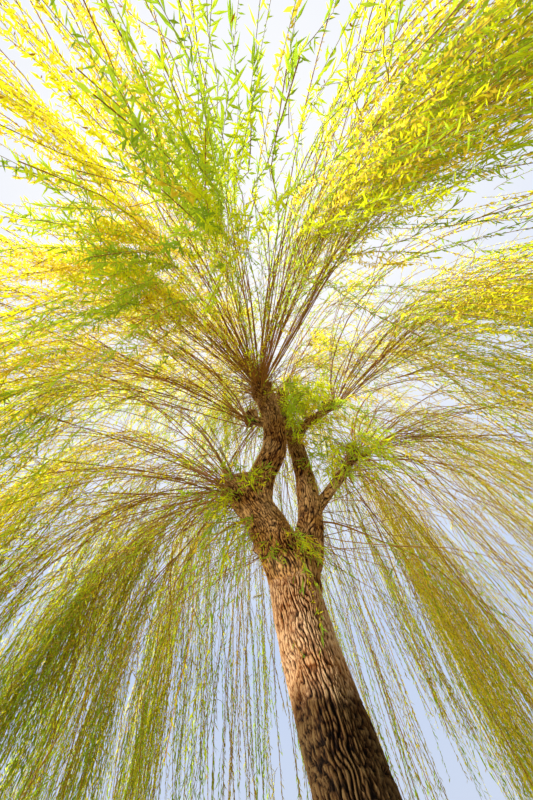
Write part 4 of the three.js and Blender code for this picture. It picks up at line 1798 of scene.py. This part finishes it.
    def grow_own(self, mass: Mass) -> None:
        """Grow a mass's own stem and strands, where the solids have them.

        Args:
            mass: The mass.
        """
        root = mass.root(mass.azimuth, mass.offset)
        stem = RULE.shoot(root, mass.stem_foot(root), mass.stem_rise(root, mass.apex))
        zone = zone_at(mass.azimuth) if mass.tier is not Tier.LOW else LOW_ZONE
        setting = Setting(mass.tier, zone, self.leaf_size)
        self.add_shoot(stem, self.own_radius, setting)
        draw = SeededRandom(mass.seed).next
        for number in range(mass.strands):
            share = ((number + 0.5) / mass.strands) ** RULE.strand_crowding
            at = RULE.strands_from + (RULE.strands_to - RULE.strands_from) * share
            start = along_bezier(stem, [at])[0]
            foot = mass.strand_foot(start, mass.azimuth, 1 if number % 2 == 0 else -1, draw)
            self.add_strand(RULE.strand(start, foot), setting)

    def grow_plume(self, mass: Mass, plume: Plume) -> None:
        """Grow a shoot that forks once or twice, hung with strands close about it.

        Args:
            mass: The mass whose head carries it.
            plume: Where it hangs.
        """
        habit, is_top = self.shoot, mass.tier is Tier.TOP
        zone = zone_at(plume.azimuth)
        if is_top:
            zone = replace(zone, lift=0.0)
        if plume.green is not None:
            zone = replace(GREEN_ZONE, green=plume.green)
        offset, sink = self.chance.within(habit.offsets), self.chance.within(habit.sinks)
        root = mass.root(plume.azimuth, offset, sink)
        foot = RULE.centre() + compass(plume.azimuth) * plume.level
        foot[2] = plume.height
        lowered = self.chance.within(habit.top_lowered if is_top else habit.side_lowered)
        apex = max(mass.apex - lowered, root[2] + habit.least_rise)
        stem = RULE.shoot(root, foot, mass.stem_rise(root, apex))
        stem[1] += (stem[2] - stem[1]) * self.chance.within(habit.leans)
        stem[1] += self.chance.normal(0, habit.scatter, 3)
        kept_below(stem, mass.apex)
        radius = self.shoot_radius * self.chance.within(habit.girths)
        setting = Setting(mass.tier, zone, self.leaf_size)
        self.add_shoot(stem, radius, setting)
        stems = [stem]
        for _ in range(1 if is_top else 2):
            stems.append(self.fork(stem, plume))
            self.add_shoot(stems[-1], self.shoot_radius * habit.fork_girth, setting)
        setting = replace(setting, leaf=self.leaf_size * plume.leaf)
        for number in range(plume.strands):
            self.hang_strand(mass, stems[number % len(stems)], plume, setting)

    def fork(self, stem: Array, plume: Plume) -> Array:
        """Give the handles of a side shoot that leaves a shoot near its head.

        Args:
            stem: The shoot's four handles.
            plume: The plume that it belongs to.

        Returns:
            The side shoot's four handles.
        """
        habit = self.shoot
        at = self.chance.within(habit.fork_places)
        start, ahead = along_bezier(stem, [at, at + 0.03])
        turn = self.chance.uniform(-1, 1) * plume.width * habit.fork_turn / plume.level
        level = min(plume.level * self.chance.within(habit.fork_levels),
                    RULE.radius * habit.fork_most)
        foot = RULE.centre() + compass(plume.azimuth + turn) * level
        foot[2] = min(plume.height + self.chance.within(habit.fork_raised), start[2] - 0.1)
        leave = unit(ahead - start) * np.linalg.norm(foot - start) * habit.fork_leave
        high = stem[2] + (foot - stem[3]) * LEVEL
        high[2] = stem[2][2] - self.chance.within(habit.fork_lowered)
        return kept_below(np.array([start, start + leave, high, foot]), self.highest - 0.1)

    def hang_strand(self, mass: Mass, stem: Array, plume: Plume, setting: Setting) -> None:
        """Hang a strand from a shoot, near the shoot's own tip.

        Args:
            mass: The mass whose hanging rule it follows.
            stem: The shoot's four handles.
            plume: The plume that it belongs to.
            setting: Where the plume hangs.
        """
        habit = self.strand
        at = habit.first + habit.run * self.chance.random() ** habit.crowding
        start = along_bezier(stem, [at])[0]
        level = math.hypot(*(start - RULE.centre())[:2])
        level += (plume.level - level) * self.chance.within(habit.outward)
        level = min(level + mass.spread * self.chance.within(habit.spread), mass.reach)
        turn = self.chance.normal() * plume.width * habit.turn / max(level, 1.0)
        own = math.degrees(math.atan2(stem[3][1] - RULE.axis[1], stem[3][0] - RULE.axis[0]))
        foot = RULE.centre() + compass(own + turn) * level
        low = mass.hang(level, start, self.chance.random() ** habit.evenness)
        foot[2] = (low + setting.zone.lift if plume.green is None
                   else max(low, plume.height - habit.past_tip))
        if start[2] - foot[2] >= habit.shortest:
            self.add_strand(RULE.strand(start, foot), setting)

    def grow_mass(self, mass: Mass) -> None:
        """Grow a mass: its own stem as in the solids, then plumes about it.

        Args:
            mass: The mass.
        """
        self.grow_own(mass)
        if mass.tier is Tier.LOW:
            return
        habit = self.shoot
        for number in range(self.shoots_each[mass.tier]):
            share = (number + self.chance.within(habit.jitter)) / self.shoots_each[mass.tier]
            azimuth = mass.azimuth + mass.half_wedge * (2 * share - 1)
            zone = zone_at(azimuth)
            if mass.tier is Tier.TOP:
                level = mass.reach * self.chance.within(habit.top_levels)
                height = mass.low + self.chance.within(habit.top_heights)
            else:
                level = mass.reach * self.chance.within(habit.side_levels)
                height = RULE.hang_height(level, self.chance.random()) + zone.lift
            count = round(self.strands_each[mass.tier] * zone.fullness
                          * self.chance.within(self.strand_shares))
            if zone.fullness > habit.least_full or self.chance.random() < habit.thin_share:
                self.grow_plume(mass, Plume(azimuth, level, height, count, self.plume_width))

    def grow_tuft(self, tuft: Tuft) -> None:
        """Crowd short shoots on a stretch of a limb.

        Args:
            tuft: Where they stand and how they grow.
        """
        habit, limb = self.sprout, self.limbs[tuft.limb]
        for _ in range(tuft.count):
            place = self.chance.within(tuft.places)
            azimuth = self.chance.uniform(-tuft.turn, tuft.turn) + (tuft.azimuth or 0.0)
            start, side = limb.on_bark(place, compass(azimuth), habit.seat)
            path = self.sprout_path(start, side, compass(azimuth), tuft)
            thick = np.linspace(tuft.radius, self.tip_radius, habit.points)
            self.add_twig("sprouts", tuft.tier, path, thick * self.chance.within(habit.girths))
            if self.chance.random() < tuft.leafy:
                is_dense = tuft.leafy > habit.dense
                leaf = tuft.leaf if is_dense else self.leaf_size
                self.dress(path, Setting(tuft.tier, TUFT_ZONE, leaf),
                           habit.dense_bare if is_dense else habit.bare)

    def sprout_path(self, start: Array, side: Array, out: Array, tuft: Tuft) -> Array:
        """Bend one short shoot off its limb, up, out and down.

        Args:
            start: Where it leaves the bark.
            side: The direction square off the bark there.
            out: Its level direction.
            tuft: How it grows.

        Returns:
            Its points.
        """
        habit = self.sprout
        length = self.chance.within(tuft.lengths)
        lift = tuft.lift * self.chance.within(habit.lifts)
        near_scatter, far_scatter = habit.scatter
        first, second, last = habit.handles
        leave = unit(side + UP * lift + self.chance.normal(0, near_scatter, 3))
        far = unit(out + UP * lift * habit.far_lift + self.chance.normal(0, far_scatter, 3))
        near_handle = start + leave * length * first
        far_handle = near_handle + far * length * second
        droop = UP * tuft.droop * length * self.chance.within(habit.droops)
        handles = np.array([start, near_handle, far_handle,
                            far_handle + far * length * last - droop])
        handles[:, 2] = np.minimum(handles[:, 2], self.highest)
        path = along_bezier(handles, np.linspace(0, 1, habit.points))
        return self.sway(path, habit.sway * length)

    def grow(self) -> dict[Tier, list[str]]:
        """Grow every mass, plume and tuft.

        Returns:
            The masses' names in each tier.
        """
        every = masses(self.limbs)
        for mass in every:
            self.grow_mass(mass)
        sides = [mass for mass in every if mass.tier is Tier.SIDE]
        for plume in CHOSEN_PLUMES:
            nearest = min(sides, key=lambda m: abs((m.azimuth - plume.azimuth + 180) % 360 - 180))
            self.grow_plume(nearest, plume)
        for tuft in TUFTS:
            self.grow_tuft(tuft)
        return {tier: [mass.name for mass in every if mass.tier is tier] for tier in Tier}

    def build(self) -> list[tuple[Object, Tier, bool]]:
        """Grow every gathered path into finished pieces.

        Returns:
            Each piece with its tier, and whether it is the tier's shoots.
        """
        return self.build_twigs() + self.build_leaves()

    def build_twigs(self) -> list[tuple[Object, Tier, bool]]:
        """Sweep the wood of shoots, sprouts and strands.

        Returns:
            Each piece with its tier, and whether it is the tier's shoots.
        """
        twigs = twig_tree()
        rinds = {
            "shoots": TwigFinish("willow_shoot_rind", "#cf8a30", "#633c14").material(),
            "sprouts": TwigFinish("willow_sprout_rind", "#cf9434", "#664218").material(),
            "strands": TwigFinish("willow_strand_rind", "#dcbc38", "#80601c").material()}
        pieces = []
        for (kind, tier), bundle in self.twigs.items():
            name = f"{tier.value}_{kind}"
            is_shoots = kind == "shoots"
            grown = twigs.grow(bundle.skeleton(f"{name}_paths"), name,
                               Sides=4 if is_shoots else 3, Finish=rinds[kind])
            pieces.append((grown, tier, is_shoots))
        return pieces

    def build_leaves(self) -> list[tuple[Object, Tier, bool]]:
        """Set the leaves, a piece for each tint, part and kind, then the catkins.

        Returns:
            Each piece with its tier, and False, as none is a tier's shoots.
        """
        leaves = leaf_tree()
        plain = bowed_leaf("far_leaf", 0.095, (0.03, 0.42), (0.14, 0.98))
        young = LeafKind(bowed_leaf("young_leaf", 0.14, (0.04, 0.45), (0.18, 0.97)),
                         self.young_spacing, tilt=1.15)
        near = LeafKind(folded_leaf(), self.near_spacing)
        back, far = LeafKind(plain, self.back_spacing), LeafKind(plain, self.leaf_spacing)
        catkin = LeafKind(spindle(), self.catkin_spacing, tilt=0.9, droop=0.1)
        finishes = {tint: tint.value.material() for tint in Tint}
        flower = LeafFinish("willow_catkin", "#cfa023", "#f2c53a", 0.3, 0.7).material()
        batches = []
        for number, ((tint, part, is_near), bundle) in enumerate(self.leaves.items()):
            kind = (young if tint.is_golden else near if is_near
                    else back if part == "back" else far)
            tier = Tier.SIDE if part in ("front", "back") else Tier(part)
            name = f"{part}{'_large' if is_near else ''}_{tint.value.name}"
            batches.append((name, tier, bundle, kind, number * 7 + 3, finishes[tint]))
        batches.append(("willow_catkins", Tier.SIDE, self.catkins, catkin, 91, flower))
        return [(leaves.grow(bundle.skeleton(f"{name}_paths"), name, Blade=kind.blade,
                             Spacing=kind.spacing, Tilt=kind.tilt, Droop=kind.droop,
                             Seed=seed, Finish=finish), tier, False)
                for name, tier, bundle, kind, seed, finish in batches]


# Camera, light and floor


@dataclass(frozen=True)
class Studio:
    """The photograph's view from under the crown, with a pale sky and a plain floor."""

    eye: tuple[float, float, float] = (-0.16, -2.75, 1.10)
    right: tuple[float, float, float] = (0.97224924, 0.20973374, -0.10364931)
    above: tuple[float, float, float] = (0.23394747, -0.87162072, 0.43075039)
    ahead: tuple[float, float, float] = (0.0, 0.44304524, 0.89649926)
    lens: float = 14.985
    nearest: float = 0.02
    floor_size: float = 240.0
    sky_stops: tuple[tuple[float, str], ...] = (
        (0.0, "#d5deee"), (0.45, "#c6d6f4"), (0.95, "#fbfcff"))
    high_energy: float = 10.4
    high_angle: float = 0.35
    box_energy: float = 22.0
    box_size: float = 1.2
    box_spread: float = 1.0

    def camera(self) -> None:
        """Set the camera where the photograph was taken from."""
        data = bpy.data.cameras.new("under_the_crown")
        data.lens = self.lens
        data.clip_start = self.nearest
        camera = add_object("under_the_crown", data)
        axes = Matrix((self.right, self.above, [-part for part in self.ahead])).transposed()
        camera.matrix_world = Matrix.Translation(self.eye) @ axes.to_4x4()
        bpy.context.scene.camera = camera

    def floor(self) -> None:
        """Lay the floor at ground level."""
        half = self.floor_size / 2
        mesh = bpy.data.meshes.new("pale_floor")
        mesh.from_pydata([(-half, -half, 0), (half, -half, 0), (half, half, 0), (-half, half, 0)],
                         [], [(0, 1, 2, 3)])
        mesh.materials.append(FloorFinish().material())
        floor = add_object("pale_floor", mesh)

    def sky(self) -> None:
        """Light the scene from a pale sky that is whitest overhead."""
        world = bpy.data.worlds.new("pale_sky")
        bpy.context.scene.world = world
        world.use_nodes = True
        tree = world.node_tree
        tree.nodes.clear()
        place = add_node(tree, "ShaderNodeTexCoord")
        parts = add_node(tree, "ShaderNodeSeparateXYZ", {0: place.outputs["Generated"]})
        shade = add_node(tree, "ShaderNodeValToRGB", {0: parts.outputs["Z"]})
        shade.color_ramp.elements.new(self.sky_stops[1][0])
        for stop, (position, colour) in zip(shade.color_ramp.elements, self.sky_stops):
            stop.position, stop.color = position, hex_colour(colour)
        light = add_node(tree, "ShaderNodeBackground", {
            "Color": shade.outputs["Color"], "Strength": 1.0})
        add_node(tree, "ShaderNodeOutputWorld", {"Surface": light.outputs[0]})

    def lights(self) -> None:
        """Add a soft high light through the crown and a soft box low on the viewer's left."""
        high = bpy.data.lights.new("high_light", "SUN")
        high.energy, high.angle = self.high_energy, self.high_angle
        box = bpy.data.lights.new("soft_box", "AREA")
        box.energy, box.size, box.spread = self.box_energy, self.box_size, self.box_spread
        for data, spot, aim in ((high, (0.0, 0.0, 12.0), (0.25, 0.3, -1.0)),
                                (box, (-2.6, -2.4, 0.9), (0.68, 0.65, 0.4))):
            lamp = add_object(data.name, data)
            lamp.location = spot
            lamp.rotation_euler = Vector(aim).to_track_quat("-Z", "Y").to_euler()
            lamp.visible_camera = False

    def build(self) -> None:
        """Set up camera, floor, sky and lights."""
        self.camera()
        self.floor()
        self.sky()
        self.lights()
        bpy.context.scene.view_settings.view_transform = "Standard"


def place(piece: Object, slot: str, nodes: Sequence[str]) -> None:
    """Attach a finished piece to the tree's body and hide the solids that it stands for.

    Args:
        piece: The piece.
        slot: The record's material slot. Not used.
        nodes: The solids that it replaces.
    """
    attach(piece, "root")
    if nodes:
        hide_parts(*nodes)
    LOG.info("%s: %d faces", piece.name, len(piece.data.polygons))


def main() -> None:
    """Build the studio, the bark and the crown, in that order."""
    Studio().build()
    limbs = {limb.name: limb for limb in wood()}
    bark = BarkFinish("furrowed_willow_bark").material()
    # The limbs' bark has darker furrows and flanks than the trunk's: partly its own warmer bark,
    # partly painted shade for limbs under the crown. Its shadow line at the ground leaves no
    # painted shadow on it.
    limb_bark = BarkFinish("ridged_willow_bark", "#1c0b03", "#6a3c17", "#b8823f", "#e6b87c",
                           shadow_line=0.0).material()
    for name, limb in limbs.items():
        is_trunk = isinstance(limb, Trunk)
        mesh = BarkMesh(limb, *BarkGrade.of(limb).value, **FEET.get(name, {}))
        piece = mesh.build(bark if is_trunk else limb_bark)
        place(piece, "bark" if is_trunk else "limb_bark", [name])
    canopy = Canopy(limbs)
    names = canopy.grow()
    for piece, tier, is_shoots in canopy.build():
        place(piece, f"{tier.value}_foliage", names[tier] if is_shoots else [])


if __name__ == "__main__":
    main()
